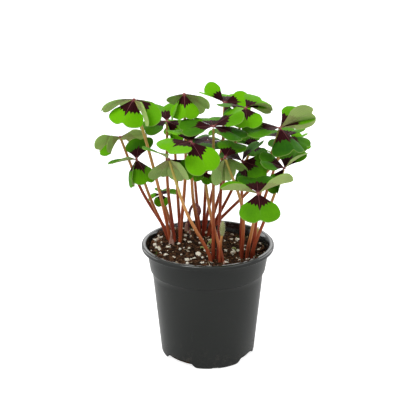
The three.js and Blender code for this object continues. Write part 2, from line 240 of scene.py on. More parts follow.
def turned(name: str, profile: Sequence[Pair], sides: int) -> Piece:
    """Raises a closed body of rings about the Z axis, extruding one ring after another.

    Args:
        name: The piece's name.
        profile: The rings from first to last, as (radius, height) in millimetres.
        sides: The points round each ring.

    Returns:
        The body, closed at both ends and facing outwards.
    """
    radius, height = profile[0]
    obj = primitive(
        name,
        bpy.ops.mesh.primitive_circle_add,
        vertices=sides,
        radius=radius * MM,
        fill_type="NOTHING",
        location=(0, 0, height * MM),
    )
    bpy.ops.object.transform_apply(location=True, rotation=True, scale=True)
    with editing():
        bpy.ops.mesh.select_mode(type="EDGE")
        bpy.ops.mesh.select_all(action="SELECT")
        for next_radius, next_height in profile[1:]:
            rise = (next_height - height) * MM
            bpy.ops.mesh.extrude_edges_move(TRANSFORM_OT_translate={"value": (0, 0, rise)})
            grow = next_radius / radius
            bpy.ops.transform.resize(value=(grow, grow, 1), center_override=(0, 0, next_height * MM))
            radius, height = next_radius, next_height
        bpy.ops.mesh.select_all(action="SELECT")
        bpy.ops.mesh.fill_holes(sides=0)
        bpy.ops.mesh.normals_make_consistent(inside=False)
    return obj


def arc(
    centre: Pair, radius: float, start: float, end: float, steps: int
) -> list[Pair]:
    """Points of a rounded edge in a turned profile.

    Args:
        centre: The rounding's centre as (radius, height).
        radius: The rounding's own radius.
        start: The first bearing in degrees, 0 outwards and 90 up.
        end: The last bearing.
        steps: The spans between points.

    Returns:
        The points as (radius, height).
    """
    points = []
    for i in range(steps + 1):
        turn = math.radians(start + (end - start) * i / steps)
        points.append((centre[0] + radius * math.cos(turn), centre[1] + radius * math.sin(turn)))
    return points


def lerp(a: float, b: float, share: float) -> float:
    """The number a share of the way from a to b."""
    return a + (b - a) * share


def between(start: Pair, end: Pair, *shares: float) -> list[Pair]:
    """Points at shares of the way along a straight stretch of a profile."""
    return [(lerp(start[0], end[0], t), lerp(start[1], end[1], t)) for t in shares]


@dataclass(frozen=True)
class Strand:
    """A smooth line through stations, each with its radius there, in millimetres."""

    stations: Stations

    def span(self, share: float) -> tuple[int, float]:
        """The span that holds a share of the line, and the place within it."""
        place = share * (len(self.stations) - 1)
        before = min(int(place), len(self.stations) - 2)
        return before, place - before

    def point(self, share: float) -> Vector:
        """The line's point at a share of its length.

        Args:
            share: 0 at the first station and 1 at the last.

        Returns:
            The point on a centripetal Catmull-Rom curve, as the solids use.
        """
        before, weight = self.span(share)
        at = [Vector(station[:3]) for station in self.stations]
        p1, p2 = at[before], at[before + 1]
        p0 = at[before - 1] if before > 0 else p1 * 2 - p2
        p3 = at[before + 2] if before + 2 < len(at) else p2 * 2 - p1
        gaps = [math.sqrt((b - a).length) or 1.0 for a, b in ((p0, p1), (p1, p2), (p2, p3))]
        first = (p1 - p0) / gaps[0] - (p2 - p0) / (gaps[0] + gaps[1]) + (p2 - p1) / gaps[1]
        last = (p2 - p1) / gaps[1] - (p3 - p1) / (gaps[1] + gaps[2]) + (p3 - p2) / gaps[2]
        first, last = first * gaps[1], last * gaps[1]
        square, cube = weight * weight, weight * weight * weight
        bend = (p2 - p1) * 3 - first * 2 - last
        close = (p1 - p2) * 2 + first + last
        return p1 + first * weight + bend * square + close * cube

    def radius(self, share: float) -> float:
        """The line's radius at a share of its length."""
        before, weight = self.span(share)
        return lerp(self.stations[before][3], self.stations[before + 1][3], weight)

    def tangent(self, share: float) -> Vector:
        """The line's direction at a share of its length."""
        step = 0.002
        low, high = max(0.0, share - step), min(1.0, share + step)
        return (self.point(high) - self.point(low)).normalized()

    def frames(self, steps: int) -> list[tuple[Vector, Vector, Vector, float]]:
        """Centres, two cross directions and radii along the line, turning as little as it can."""
        normal = Vector((1, 0, 0))
        found = []
        for i in range(steps + 1):
            tangent = self.tangent(i / steps)
            normal = (normal - tangent * normal.dot(tangent)).normalized()
            found.append(
                (self.point(i / steps), normal.copy(), tangent.cross(normal), self.radius(i / steps))
            )
        return found


class StemBlank:
    """A straight round stem, modelled once, that every stalk is bent from."""

    def __init__(self, sides: int = 12, steps: int = 28) -> None:
        """Models the blank, one unit high and one unit in radius."""
        self.steps = steps
        profile = [(1 / MM, i / steps / MM) for i in range(steps + 1)]
        self.blank = turned("stem_blank", profile, sides)
        smooth(self.blank, 70)

    def bent(self, name: str, strand: Strand, shade: float, swell: float = 0.03) -> Piece:
        """Bends a copy of the blank along a strand.

        Args:
            name: The stalk's name.
            strand: The line that it follows.
            shade: A number from 0 to 1 that its material reads.
            swell: How much the stalk thickens and thins along its length, as a share.

        Returns:
            The stalk, with how far up each point is in its attribute "stem".
        """
        stalk = copied(self.blank, name)
        frames = strand.frames(self.steps)
        paint(stalk, "stem", lambda co: Vector((math.atan2(co.y, co.x) / math.tau + 0.5, co.z, shade)))

        def place(co: Vector) -> Vector:
            centre, normal, binormal, radius = frames[round(co.z * self.steps)]
            full = radius * (1 + swell * noise.noise(Vector((co.z * 6, shade * 31, 0.5))))
            return (centre + normal * (co.x * full) + binormal * (co.y * full)) * MM

        reshape(stalk, place)
        return stalk


# Finishes

class Tree:
    """A node tree and the hand that lays and joins its nodes."""

    def __init__(self, tree: NodeTree) -> None:
        """Takes a tree to work on."""
        self.tree = tree

    def add(self, kind: str, inputs: dict | None = None, **settings: object) -> bpy.types.Node:
        """Lays one node.

        Args:
            kind: The node's type.
            inputs: Values or sockets for its inputs, by name or number.
            settings: The node's own settings.

        Returns:
            The node.
        """
        node = self.tree.nodes.new(kind)
        for key, value in settings.items():
            setattr(node, key, value)
        for key, value in (inputs or {}).items():
            self.feed(node.inputs[key], value)
        return node

    def feed(self, socket: Socket, value: object) -> None:
        """Joins a socket to another, or sets its own value."""
        if isinstance(value, Socket):
            self.tree.links.new(value, socket)
        elif isinstance(value, tuple) and len(value) == 3 and socket.type == "RGBA":
            socket.default_value = (*value, 1.0)
        else:
            socket.default_value = value

    def math(self, operation: str, *values: float | Socket, clamp: bool = False) -> Socket:
        """A sum of numbers or sockets."""
        inputs = dict(enumerate(values))
        node = self.add("ShaderNodeMath", inputs, operation=operation, use_clamp=clamp)
        return node.outputs[0]

    def times(self, a: float | Socket, b: float | Socket) -> Socket:
        """The product a * b."""
        return self.math("MULTIPLY", a, b)

    def fma(self, a: float | Socket, b: float | Socket, c: float | Socket, clamp: bool = False) -> Socket:
        """The sum a * b + c."""
        return self.math("MULTIPLY_ADD", a, b, c, clamp=clamp)

    def split(self, vector: Socket) -> Sequence[Socket]:
        """The three numbers of a vector."""
        return tuple(self.add("ShaderNodeSeparateXYZ", {0: vector}).outputs)

    def vector(self, x: float | Socket, y: float | Socket, z: float | Socket) -> Socket:
        """A vector of three numbers."""
        return self.add("ShaderNodeCombineXYZ", {0: x, 1: y, 2: z}).outputs[0]

    def reach(self, across: Socket, along: Socket) -> Socket:
        """The distance of a place on a leaflet's plan from its hub."""
        flat = self.vector(across, along, 0.0)
        return self.add("ShaderNodeVectorMath", {0: flat}, operation="LENGTH").outputs["Value"]

    def span(self, value: Socket, low: float | Socket, high: float | Socket, top: float = 1.0) -> Socket:
        """A soft step from 0 at low to top at high, which may run downwards."""
        node = self.add(
            "ShaderNodeMapRange",
            {"Value": value, "From Min": low, "From Max": high, "To Max": top},
            interpolation_type="SMOOTHSTEP",
        )
        return node.outputs[0]

    def blend(
        self, share: float | Socket, a: Colour | Socket, b: Colour | Socket, how: str = "MIX"
    ) -> Socket:
        """A blend of two colours."""
        node = self.add("ShaderNodeMix", data_type="RGBA", blend_type=how)
        for place, value in ((0, share), (6, a), (7, b)):
            self.feed(node.inputs[place], value)
        return node.outputs[2]

    def ramp(self, value: Socket, stops: Sequence[tuple[float, Colour]]) -> Socket:
        """A colour that runs through stops."""
        node = self.add("ShaderNodeValToRGB", {0: value})
        elements = node.color_ramp.elements
        while len(elements) < len(stops):
            elements.new(0.5)
        for element, (place, colour) in zip(elements, stops):
            element.position = place
            element.color = (*colour, 1.0)
        return node.outputs[0]

    def noise(self, where: Socket, scale: float, detail: float = 3.0, rough: float = 0.55) -> Socket:
        """A cloudy pattern from 0 to 1."""
        inputs = {"Vector": where, "Scale": scale, "Detail": detail, "Roughness": rough}
        return self.add("ShaderNodeTexNoise", inputs).outputs[0]

    def place(self) -> Socket:
        """Object coordinates."""
        return self.add("ShaderNodeTexCoord").outputs["Object"]

    def attribute(self, name: str) -> tuple[Socket, Socket, Socket, Socket]:
        """A stored vector and its three numbers."""
        vector = self.add("ShaderNodeAttribute", attribute_name=name).outputs["Vector"]
        return vector, *self.split(vector)

    def group(self, tree: NodeTree, inputs: dict) -> bpy.types.Node:
        """Places a shared effect."""
        node = self.add("ShaderNodeGroup", node_tree=tree)
        for key, value in inputs.items():
            self.feed(node.inputs[key], value)
        return node


def shared(name: str, takes: dict[str, float | None], *gives: str) -> tuple[Tree, Callable, Callable]:
    """Starts a node group that several materials use.

    Args:
        name: The group's name.
        takes: Its inputs: a number's default, or None for a vector.
        gives: Its outputs, which are all numbers.

    Returns:
        The tree, a function that gives an input by name, and one that feeds an output by name.
    """
    tree = bpy.data.node_groups.new(name, "ShaderNodeTree")
    for key, default in takes.items():
        kind = "NodeSocketVector" if default is None else "NodeSocketFloat"
        socket = tree.interface.new_socket(key, in_out="INPUT", socket_type=kind)
        if default is not None:
            socket.default_value = default
    for key in gives:
        tree.interface.new_socket(key, in_out="OUTPUT", socket_type="NodeSocketFloat")
    hand = Tree(tree)
    start, end = hand.add("NodeGroupInput"), hand.add("NodeGroupOutput")
    return hand, lambda key: start.outputs[key], lambda key, value: hand.feed(end.inputs[key], value)


# Side veins fan out from a point behind the hub. Leaflets are measured in shares of their length.
VEIN_START = 0.12
VEINS_PER_RADIAN = 9.5


@dataclass(frozen=True)
class Effects:
    """The effects that more than one finish uses, and the measures of the leaf's pattern."""

    midrib_width: Pair = (0.0125, 0.002)
    midrib_taper: float = -0.007
    vein_wander: float = 0.35
    vein_edges: Pair = (0.11, 0.02)
    vein_fade: Pair = (1.05, 0.35)
    mesh_count: float = 17.0
    mesh_edges: Pair = (0.09, 0.01)
    mark_reach: float = 0.51
    mark_spread: float = 0.1
    mark_shoulder: float = 0.2
    mark_blur: float = 0.012
    teeth_count: float = 4.6
    teeth_depth: float = -0.15
    fray_count: float = 5.0
    fray_depth: float = 0.18
    spike_width: float = 0.075
    spike_length: float = 0.09
    heart: Pair = (0.16, 0.02)

    def grain(self) -> NodeTree:
        """Fine grain over slow clouds, both from 0 to 1, with a height for bumps."""
        takes = {"Where": None, "Fine": 900.0, "Slow": 60.0}
        hand, took, give = shared("grain", takes, "Fine", "Slow", "Height")
        fine = hand.noise(took("Where"), took("Fine"), 4.0, 0.5)
        slow = hand.noise(took("Where"), took("Slow"), 3.0, 0.5)
        give("Fine", fine)
        give("Slow", slow)
        give("Height", hand.fma(slow, 0.4, fine))
        return hand.tree

    def streaks(self) -> NodeTree:
        """Long fibres that run up a stem, from its stored place round and along."""
        hand, took, give = shared("streaks", {"Where": None, "Count": 9.0}, "Mask", "Height")
        around, along, shade = hand.split(took("Where"))
        turn = hand.times(around, math.tau)
        round_x = hand.times(hand.math("COSINE", turn), took("Count"))
        round_y = hand.times(hand.math("SINE", turn), took("Count"))
        up = hand.fma(along, 5.0, hand.times(shade, 40.0))
        lines = hand.noise(hand.vector(round_x, round_y, up), 1.0, 3.0, 0.6)
        give("Mask", hand.span(lines, 0.35, 0.68))
        give("Height", lines)
        return hand.tree

    def veins(self) -> NodeTree:
        """Midrib, fanned side veins and their fine network on a leaflet's flat plan."""
        hand, took, give = shared("leaf_veins", {"Plan": None}, "Midrib", "Veins", "Network", "Height")
        across, along, seed = hand.split(took("Plan"))
        side = hand.math("ABSOLUTE", across)
        width, line = self.midrib_width
        midrib = hand.span(side, hand.fma(along, self.midrib_taper, width), line)
        shifted = hand.vector(across, along, hand.times(seed, 17.0))
        wobble = hand.math("SUBTRACT", hand.noise(shifted, 5.0, 2.0), 0.5)
        bearing = hand.math("ARCTAN2", side, hand.math("ADD", along, VEIN_START))
        fan = hand.fma(wobble, self.vein_wander, hand.times(bearing, VEINS_PER_RADIAN))
        near = hand.math("PINGPONG", fan, 0.5)
        fade = hand.span(hand.reach(across, along), *self.vein_fade)
        veins = hand.times(hand.span(near, *self.vein_edges), hand.fma(fade, 0.7, 0.3))
        cells = {"Vector": shifted, "Scale": self.mesh_count}
        cells = hand.add("ShaderNodeTexVoronoi", cells, feature="DISTANCE_TO_EDGE")
        network = hand.span(cells.outputs[0], *self.mesh_edges)
        give("Midrib", midrib)
        give("Veins", veins)
        give("Network", network)
        low = hand.fma(midrib, 1.0, hand.fma(veins, 0.5, hand.times(network, 0.28)))
        give("Height", hand.math("SUBTRACT", 1.0, low))
        return hand.tree

    def mark(self) -> NodeTree:
        """The dark arrow that crosses a leaflet, with its toothed outer edge and its spike."""
        hand, took, give = shared("leaf_mark", {"Plan": None}, "Mask", "Heart")
        across, along, seed = hand.split(took("Plan"))
        side = hand.math("ABSOLUTE", across)
        reach = hand.reach(across, along)
        bearing = hand.math("ARCTAN2", across, along)
        measure = hand.fma(side, self.mark_shoulder, reach)
        edge = hand.fma(seed, self.mark_spread, self.mark_reach)
        teeth = hand.times(bearing, self.fray_count)
        place = hand.vector(teeth, hand.times(seed, 23.0), hand.times(reach, 1.3))
        fray = hand.math("SUBTRACT", hand.noise(place, 1.0, 4.0, 0.7), 0.5)
        teeth = hand.math("PINGPONG", hand.times(bearing, self.teeth_count), 0.5)
        edge = hand.fma(fray, self.fray_depth, edge)
        edge = hand.fma(teeth, self.teeth_depth, edge)
        edge = hand.fma(hand.span(side, self.spike_width, 0.0), self.spike_length, edge)
        give("Mask", hand.span(hand.math("SUBTRACT", measure, edge), self.mark_blur, -self.mark_blur))
        give("Heart", hand.span(reach, *self.heart))
        return hand.tree


class Groups:
    """The shared effects as node groups, each built once."""

    def __init__(self, effects: Effects) -> None:
        """Builds the groups."""
        self.grain = effects.grain()
        self.veins = effects.veins()
        self.streaks = effects.streaks()
        self.mark = effects.mark()


class Coat(Tree):
    """A material's own tree, with its surface shader."""

    def __init__(self, name: str) -> None:
        """Starts a material."""
        self.material = bpy.data.materials.new(name)
        self.material.use_nodes = True
        super().__init__(self.material.node_tree)
        self.shader = self.tree.nodes["Principled BSDF"]

    def grain(self, groups: Groups, fine: float, slow: float) -> Sequence[Socket]:
        """The fine grain, the slow clouds and their height, at two scales."""
        return self.group(groups.grain, {"Where": self.place(), "Fine": fine, "Slow": slow}).outputs


@dataclass(frozen=True)
class Finish:
    """A surface finish: the plain settings that every material starts from."""

    name: str
    roughness: float = 0.5
    specular: float = 0.22
    subsurface: float = 0.0
    subsurface_scale: float = 0.001
    bump: float = 0.3
    bump_depth: float = 0.1

    def open(self) -> Coat:
        """Starts the material."""
        coat = Coat(self.name)
        settings = {
            "Roughness": self.roughness,
            "Specular IOR Level": self.specular,
            "Subsurface Weight": self.subsurface,
            "Subsurface Scale": self.subsurface_scale,
            "Subsurface Radius": (0.6, 1.0, 0.25),
        }
        for key, value in settings.items():
            coat.shader.inputs[key].default_value = value
        return coat

    def close(self, coat: Coat, base: Socket, height: Socket, rough: Socket | None = None) -> Material:
        """Joins the worked-out colour and relief to the surface.

        Args:
            coat: The material's tree.
            base: The colour.
            height: The height from 0 to 1, for the bump.
            rough: The roughness, where it changes over the surface.

        Returns:
            The finished material.
        """
        coat.feed(coat.shader.inputs["Base Color"], base)
        if rough is not None:
            coat.feed(coat.shader.inputs["Roughness"], rough)
        relief = {"Strength": self.bump, "Distance": self.bump_depth * MM, "Height": height}
        coat.feed(coat.shader.inputs["Normal"], coat.add("ShaderNodeBump", relief).outputs[0])
        return coat.material


@dataclass(frozen=True)
class PotPlastic(Finish):
    """Thin recycled grey-black plastic with a soft shine, scuffs and a little dry soil.

    Bands are heights on the pot in metres, from where a trace is absent to where it is full.
    """

    name: str = "pot_plastic"
    specular: float = 0.46
    bump: float = 0.25
    bump_depth: float = 0.06
    dark: Colour = (0.0078, 0.0098, 0.0084)
    light: Colour = (0.0125, 0.0148, 0.013)
    scuffed: Colour = (0.16, 0.165, 0.16)
    dusty: Colour = (0.09, 0.075, 0.06)
    soiled: Colour = (0.07, 0.045, 0.03)
    dust_band: Pair = (0.03, 0.0)
    soil_band: Pair = (0.088, 0.1)
    polished_band: Pair = (0.0965, 0.0985)

    def build(self, groups: Groups) -> Material:
        """Builds the material from the shared effects."""
        coat = self.open()
        where = coat.place()
        _, slow, relief = coat.grain(groups, 2200.0, 28.0)
        base = coat.blend(slow, self.dark, self.light)
        upright = coat.add("ShaderNodeMapping", {"Vector": where, "Scale": (420.0, 420.0, 60.0)}).outputs[0]
        scuff = coat.span(coat.noise(upright, 1.0, 5.0, 0.75), 0.66, 0.78)
        base = coat.blend(coat.times(scuff, 0.4), base, self.scuffed)
        height = coat.split(where)[2]
        dust = coat.span(coat.noise(where, 190.0, 6.0, 0.7), 0.5, 0.72)
        dust = coat.times(dust, coat.span(height, *self.dust_band))
        soil = coat.span(coat.noise(where, 520.0, 4.0, 0.7), 0.62, 0.7)
        soil = coat.times(soil, coat.span(height, *self.soil_band))
        base = coat.blend(coat.times(dust, 0.35), base, self.dusty)
        base = coat.blend(coat.times(soil, 0.55), base, self.soiled)
        rough = coat.fma(slow, 0.14, 0.15)
        rough = coat.fma(coat.span(height, *self.polished_band), -0.12, rough)
        rough = coat.fma(coat.math("MAXIMUM", dust, scuff), 0.3, rough, clamp=True)
        return self.close(coat, base, relief, rough)


@dataclass(frozen=True)
class Peat(Finish):
    """Moist brown peat and bark, with painted shade in patches that stand for its hollows."""

    name: str = "peat"
    roughness: float = 0.9
    specular: float = 0.12
    bump: float = 0.9
    bump_depth: float = 0.5
    light: Colour = (0.135, 0.06, 0.026)
    dark: Colour = (0.009, 0.0045, 0.003)
    fibre: Colour = (0.3, 0.15, 0.07)

    def build(self, groups: Groups) -> Material:
        """Builds the material from the shared effects."""
        coat = self.open()
        where = coat.place()
        fine, slow, relief = coat.grain(groups, 1500.0, 260.0)
        tone = coat.fma(fine, 0.5, coat.times(slow, 0.6))
        middle = tuple(lerp(a, b, 0.35) for a, b in zip(self.dark, self.light))
        base = coat.ramp(tone, [(0.35, self.dark), (0.55, middle), (0.75, self.light)])
        fibres = coat.add("ShaderNodeTexVoronoi", {"Vector": where, "Scale": 900.0}).outputs[0]
        base = coat.blend(coat.span(fibres, 0.14, 0.05, 0.6), base, self.fibre)
        # Painted shade: dark noise patches stand for the shadow in the hollows between crumbs.
        painted_hollow_shade = coat.span(coat.noise(where, 330.0, 3.0, 0.6), 0.54, 0.42, 0.9)
        return self.close(coat, coat.blend(painted_hollow_shade, base, self.dark), relief)


@dataclass(frozen=True)
class Mineral(Finish):
    """Perlite: chalky white grains with pores and soil stains."""

    name: str = "perlite"
    roughness: float = 0.85
    bump: float = 0.6
    bump_depth: float = 0.3
    clean: Colour = (0.95, 0.91, 0.79)
    stained: Colour = (0.48, 0.36, 0.22)
    pore: Colour = (0.3, 0.22, 0.15)

    def build(self, groups: Groups) -> Material:
        """Builds the material from the shared effects."""
        coat = self.open()
        fine, slow, relief = coat.grain(groups, 1700.0, 240.0)
        base = coat.blend(coat.times(coat.span(slow, 0.5, 0.72), 0.85), self.clean, self.stained)
        base = coat.blend(coat.times(coat.span(fine, 0.42, 0.3), 0.45), base, self.pore)
        return self.close(coat, base, relief)


@dataclass(frozen=True)
class StemSkin(Finish):
    """Succulent stem skin, which runs from a deep foot to a pale top, with fine long fibres.

    A stem's shade blends its deep colours with its pale ones; both lie at the stops up the stem.
    """

    name: str = "petiole_skin"
    subsurface: float = 0.12
    subsurface_scale: float = 0.0012
    bump: float = 0.35
    bump_depth: float = 0.12
    stops: tuple[float, ...] = (0.16, 0.46, 0.76, 0.98)
    deep: tuple[Colour, ...] = (
        (0.1, 0.006, 0.004), (0.2, 0.014, 0.009), (0.34, 0.065, 0.026), (0.38, 0.2, 0.06),
    )
    pale: tuple[Colour, ...] = (
        (0.17, 0.012, 0.007), (0.48, 0.12, 0.046), (0.68, 0.36, 0.12), (0.54, 0.48, 0.12),
    )
    fibre_gain: Colour = (1.45, 1.5, 1.35)

    def build(self, groups: Groups) -> Material:
        """Builds the material from the shared effects."""
        coat = self.open()
        vector, _, along, shade = coat.attribute("stem")
        slow = coat.noise(coat.place(), 45.0, 2.0)
        rise = coat.fma(coat.math("SUBTRACT", slow, 0.5), 0.35, along, clamp=True)
        deep, pale = (coat.ramp(rise, list(zip(self.stops, tones))) for tones in (self.deep, self.pale))
        base = coat.blend(shade, deep, pale)
        mask, height = coat.group(groups.streaks, {"Where": vector, "Count": 2.6}).outputs
        lighter = coat.blend(1.0, base, self.fibre_gain, "MULTIPLY")
        base = coat.blend(coat.times(mask, 0.55), base, lighter)
        return self.close(coat, base, height, coat.fma(height, 0.25, 0.26))


@dataclass(frozen=True)
class Blade(Finish):
    """What both faces of a leaflet share: their tissue from deep to bright green, partly age and partly
    painted light and shade, and its pattern.
    """

    subsurface_scale: float = 0.0009
    deep: Colour = (0.0, 0.0, 0.0)
    fresh_and_lit: Colour = (1.0, 1.0, 1.0)

    def pattern(self, coat: Coat, groups: Groups) -> tuple[Sequence[Socket], ...]:
        """Reads a leaflet's stored plan.

        Args:
            coat: The material's tree.
            groups: The shared effects.

        Returns:
            The outputs of the veins, of the mark and of the grain.
        """
        plan = coat.attribute("plan")[0]
        veins = coat.group(groups.veins, {"Plan": plan}).outputs
        mark = coat.group(groups.mark, {"Plan": plan}).outputs
        return veins, mark, coat.grain(groups, 1400.0, 75.0)


@dataclass(frozen=True)
class BladeTop(Blade):
    """The upper face of a leaflet: green tissue, dark arrow, pale midrib and veins, waxy shine."""

    name: str = "leaf_top"
    specular: float = 0.03
    subsurface: float = 0.06
    bump: float = 0.5
    bump_depth: float = 0.13
    deep: Colour = (0.014, 0.085, 0.006)
    fresh_and_lit: Colour = (0.16, 0.5, 0.004)
    vein_gain: Colour = (1.25, 1.14, 1.4)
    rim: Colour = (0.3, 0.42, 0.1)
    wine_dark: Colour = (0.013, 0.0025, 0.0035)
    wine_light: Colour = (0.042, 0.006, 0.009)
    wine_vein: Colour = (0.1, 0.022, 0.03)
    midrib_green: Colour = (0.25, 0.42, 0.12)
    midrib_wine: Colour = (0.3, 0.1, 0.11)
    heart: Colour = (0.42, 0.12, 0.12)

    def build(self, groups: Groups) -> Material:
        """Builds the material from the shared effects."""
        coat = self.open()
        (midrib, lines, network, relief), (mask, heart), (fine, slow, _) = self.pattern(coat, groups)
        _, _, ring, shade = coat.attribute("spot_and_painted_light")
        # Painted light and shade: the leaflet's stored shade, partly its age and partly how lit it stands,
        # moves the green from deep to bright.
        tone = coat.fma(coat.math("SUBTRACT", slow, 0.5), 0.45, shade)
        tone = coat.fma(coat.span(ring, 0.55, 1.0), 0.1, tone, clamp=True)
        green = coat.blend(tone, self.deep, self.fresh_and_lit)
        paler = coat.blend(1.0, green, self.vein_gain, "MULTIPLY")
        green = coat.blend(coat.times(network, 0.35), green, paler)
        green = coat.blend(coat.times(lines, 0.6), green, paler)
        green = coat.blend(coat.times(coat.span(ring, 0.965, 0.995), 0.5), green, self.rim)
        wine = coat.blend(slow, self.wine_dark, self.wine_light)
        wine = coat.blend(coat.times(lines, 0.45), wine, self.wine_vein)
        base = coat.blend(mask, green, wine)
        pale = coat.blend(mask, self.midrib_green, self.midrib_wine)
        base = coat.blend(coat.times(midrib, coat.span(ring, 1.0, 0.3, 0.75)), base, pale)
        base = coat.blend(coat.times(heart, 0.6), base, self.heart)
        return self.close(coat, base, coat.fma(fine, 0.16, relief), coat.fma(fine, 0.16, 0.42))


@dataclass(frozen=True)
class BladeUnder(Blade):
    """The lower face of a leaflet: matt pale olive, with raised veins and a faint mark."""

    name: str = "leaf_under"
    roughness: float = 0.62
    specular: float = 0.06
    subsurface: float = 0.1
    bump: float = 0.6
    bump_depth: float = 0.16
    deep: Colour = (0.18, 0.36, 0.1)
    fresh_and_lit: Colour = (0.56, 0.72, 0.22)
    marked: Colour = (0.3, 0.2, 0.1)
    veined: Colour = (0.66, 0.72, 0.32)
    midrib: Colour = (0.7, 0.62, 0.36)
    heart: Colour = (0.4, 0.14, 0.1)

    def build(self, groups: Groups) -> Material:
        """Builds the material from the shared effects."""
        coat = self.open()
        (midrib, lines, network, relief), (mask, heart), (fine, slow, _) = self.pattern(coat, groups)
        shade = coat.attribute("spot_and_painted_light")[3]
        # Painted light and shade: the stored shade, partly age and partly how lit the leaflet stands, moves
        # the underside from deep to bright.
        tone = coat.fma(coat.math("SUBTRACT", slow, 0.5), 0.5, shade, clamp=True)
        base = coat.blend(tone, self.deep, self.fresh_and_lit)
        base = coat.blend(coat.times(mask, 0.4), base, self.marked)
        lines = coat.math("MAXIMUM", lines, coat.times(network, 0.5))
        base = coat.blend(coat.times(lines, 0.55), base, self.veined)
        base = coat.blend(coat.times(midrib, 0.8), base, self.midrib)
        base = coat.blend(coat.times(heart, 0.7), base, self.heart)
        return self.close(coat, base, coat.math("SUBTRACT", coat.times(fine, 0.2), relief))


@dataclass(frozen=True)
class Tinted(Finish):
    """A soft living or woody skin of two tones and a grain, for the small pieces."""

    name: str = "tinted"
    dark: Colour = (0.1, 0.05, 0.03)
    light: Colour = (0.3, 0.18, 0.1)

    def build(self, groups: Groups) -> Material:
        """Builds the material from the shared effects."""
        coat = self.open()
        fine, slow, relief = coat.grain(groups, 1500.0, 150.0)
        tone = coat.fma(fine, 0.4, coat.times(slow, 0.65))
        return self.close(coat, coat.ramp(tone, [(0.36, self.dark), (0.68, self.light)]), relief)


class Palette:
    """Every finish of the plant, built once."""

    def __init__(self) -> None:
        """Builds the effects and the materials."""
        groups = Groups(Effects())

        def tinted(name: str, rough: float, dark: Colour, light: Colour, **more: float) -> Material:
            return Tinted(name, rough, dark=dark, light=light, **more).build(groups)

        living = {"subsurface": 0.1}
        self.pot = PotPlastic().build(groups)
        self.peat = Peat().build(groups)
        self.crumb = Peat("bark_crumb", light=(0.3, 0.14, 0.065), dark=(0.012, 0.006, 0.004)).build(groups)
        self.perlite = Mineral().build(groups)
        self.petiole = StemSkin().build(groups)
        self.top = BladeTop().build(groups)
        self.under = BladeUnder().build(groups)
        self.hub = tinted("leaf_hub", 0.5, (0.2, 0.03, 0.04), (0.5, 0.2, 0.18), **living)
        self.tunic = tinted("bulb_tunic", 0.75, (0.06, 0.025, 0.012), (0.3, 0.16, 0.08), bump=0.8)
        self.root = tinted("root_fibre", 0.7, (0.35, 0.24, 0.13), (0.72, 0.6, 0.42))
        self.down = tinted("plant_down", 0.6, (0.55, 0.52, 0.42), (0.85, 0.82, 0.72))
        self.bud = tinted("bud_skin", 0.6, (0.14, 0.17, 0.05), (0.42, 0.44, 0.2), **living)
        self.plum = tinted("young_plum", 0.5, (0.09, 0.02, 0.03), (0.34, 0.13, 0.13), **living)
        self.sheath = tinted("bulb_sheath", 0.5, (0.3, 0.12, 0.09), (0.66, 0.45, 0.36), **living)
        self.seedling = tinted("seedling", 0.5, (0.24, 0.32, 0.08), (0.56, 0.6, 0.24), **living)
        self.moss = tinted("moss", 0.8, (0.035, 0.075, 0.015), (0.16, 0.24, 0.05))


# Pot


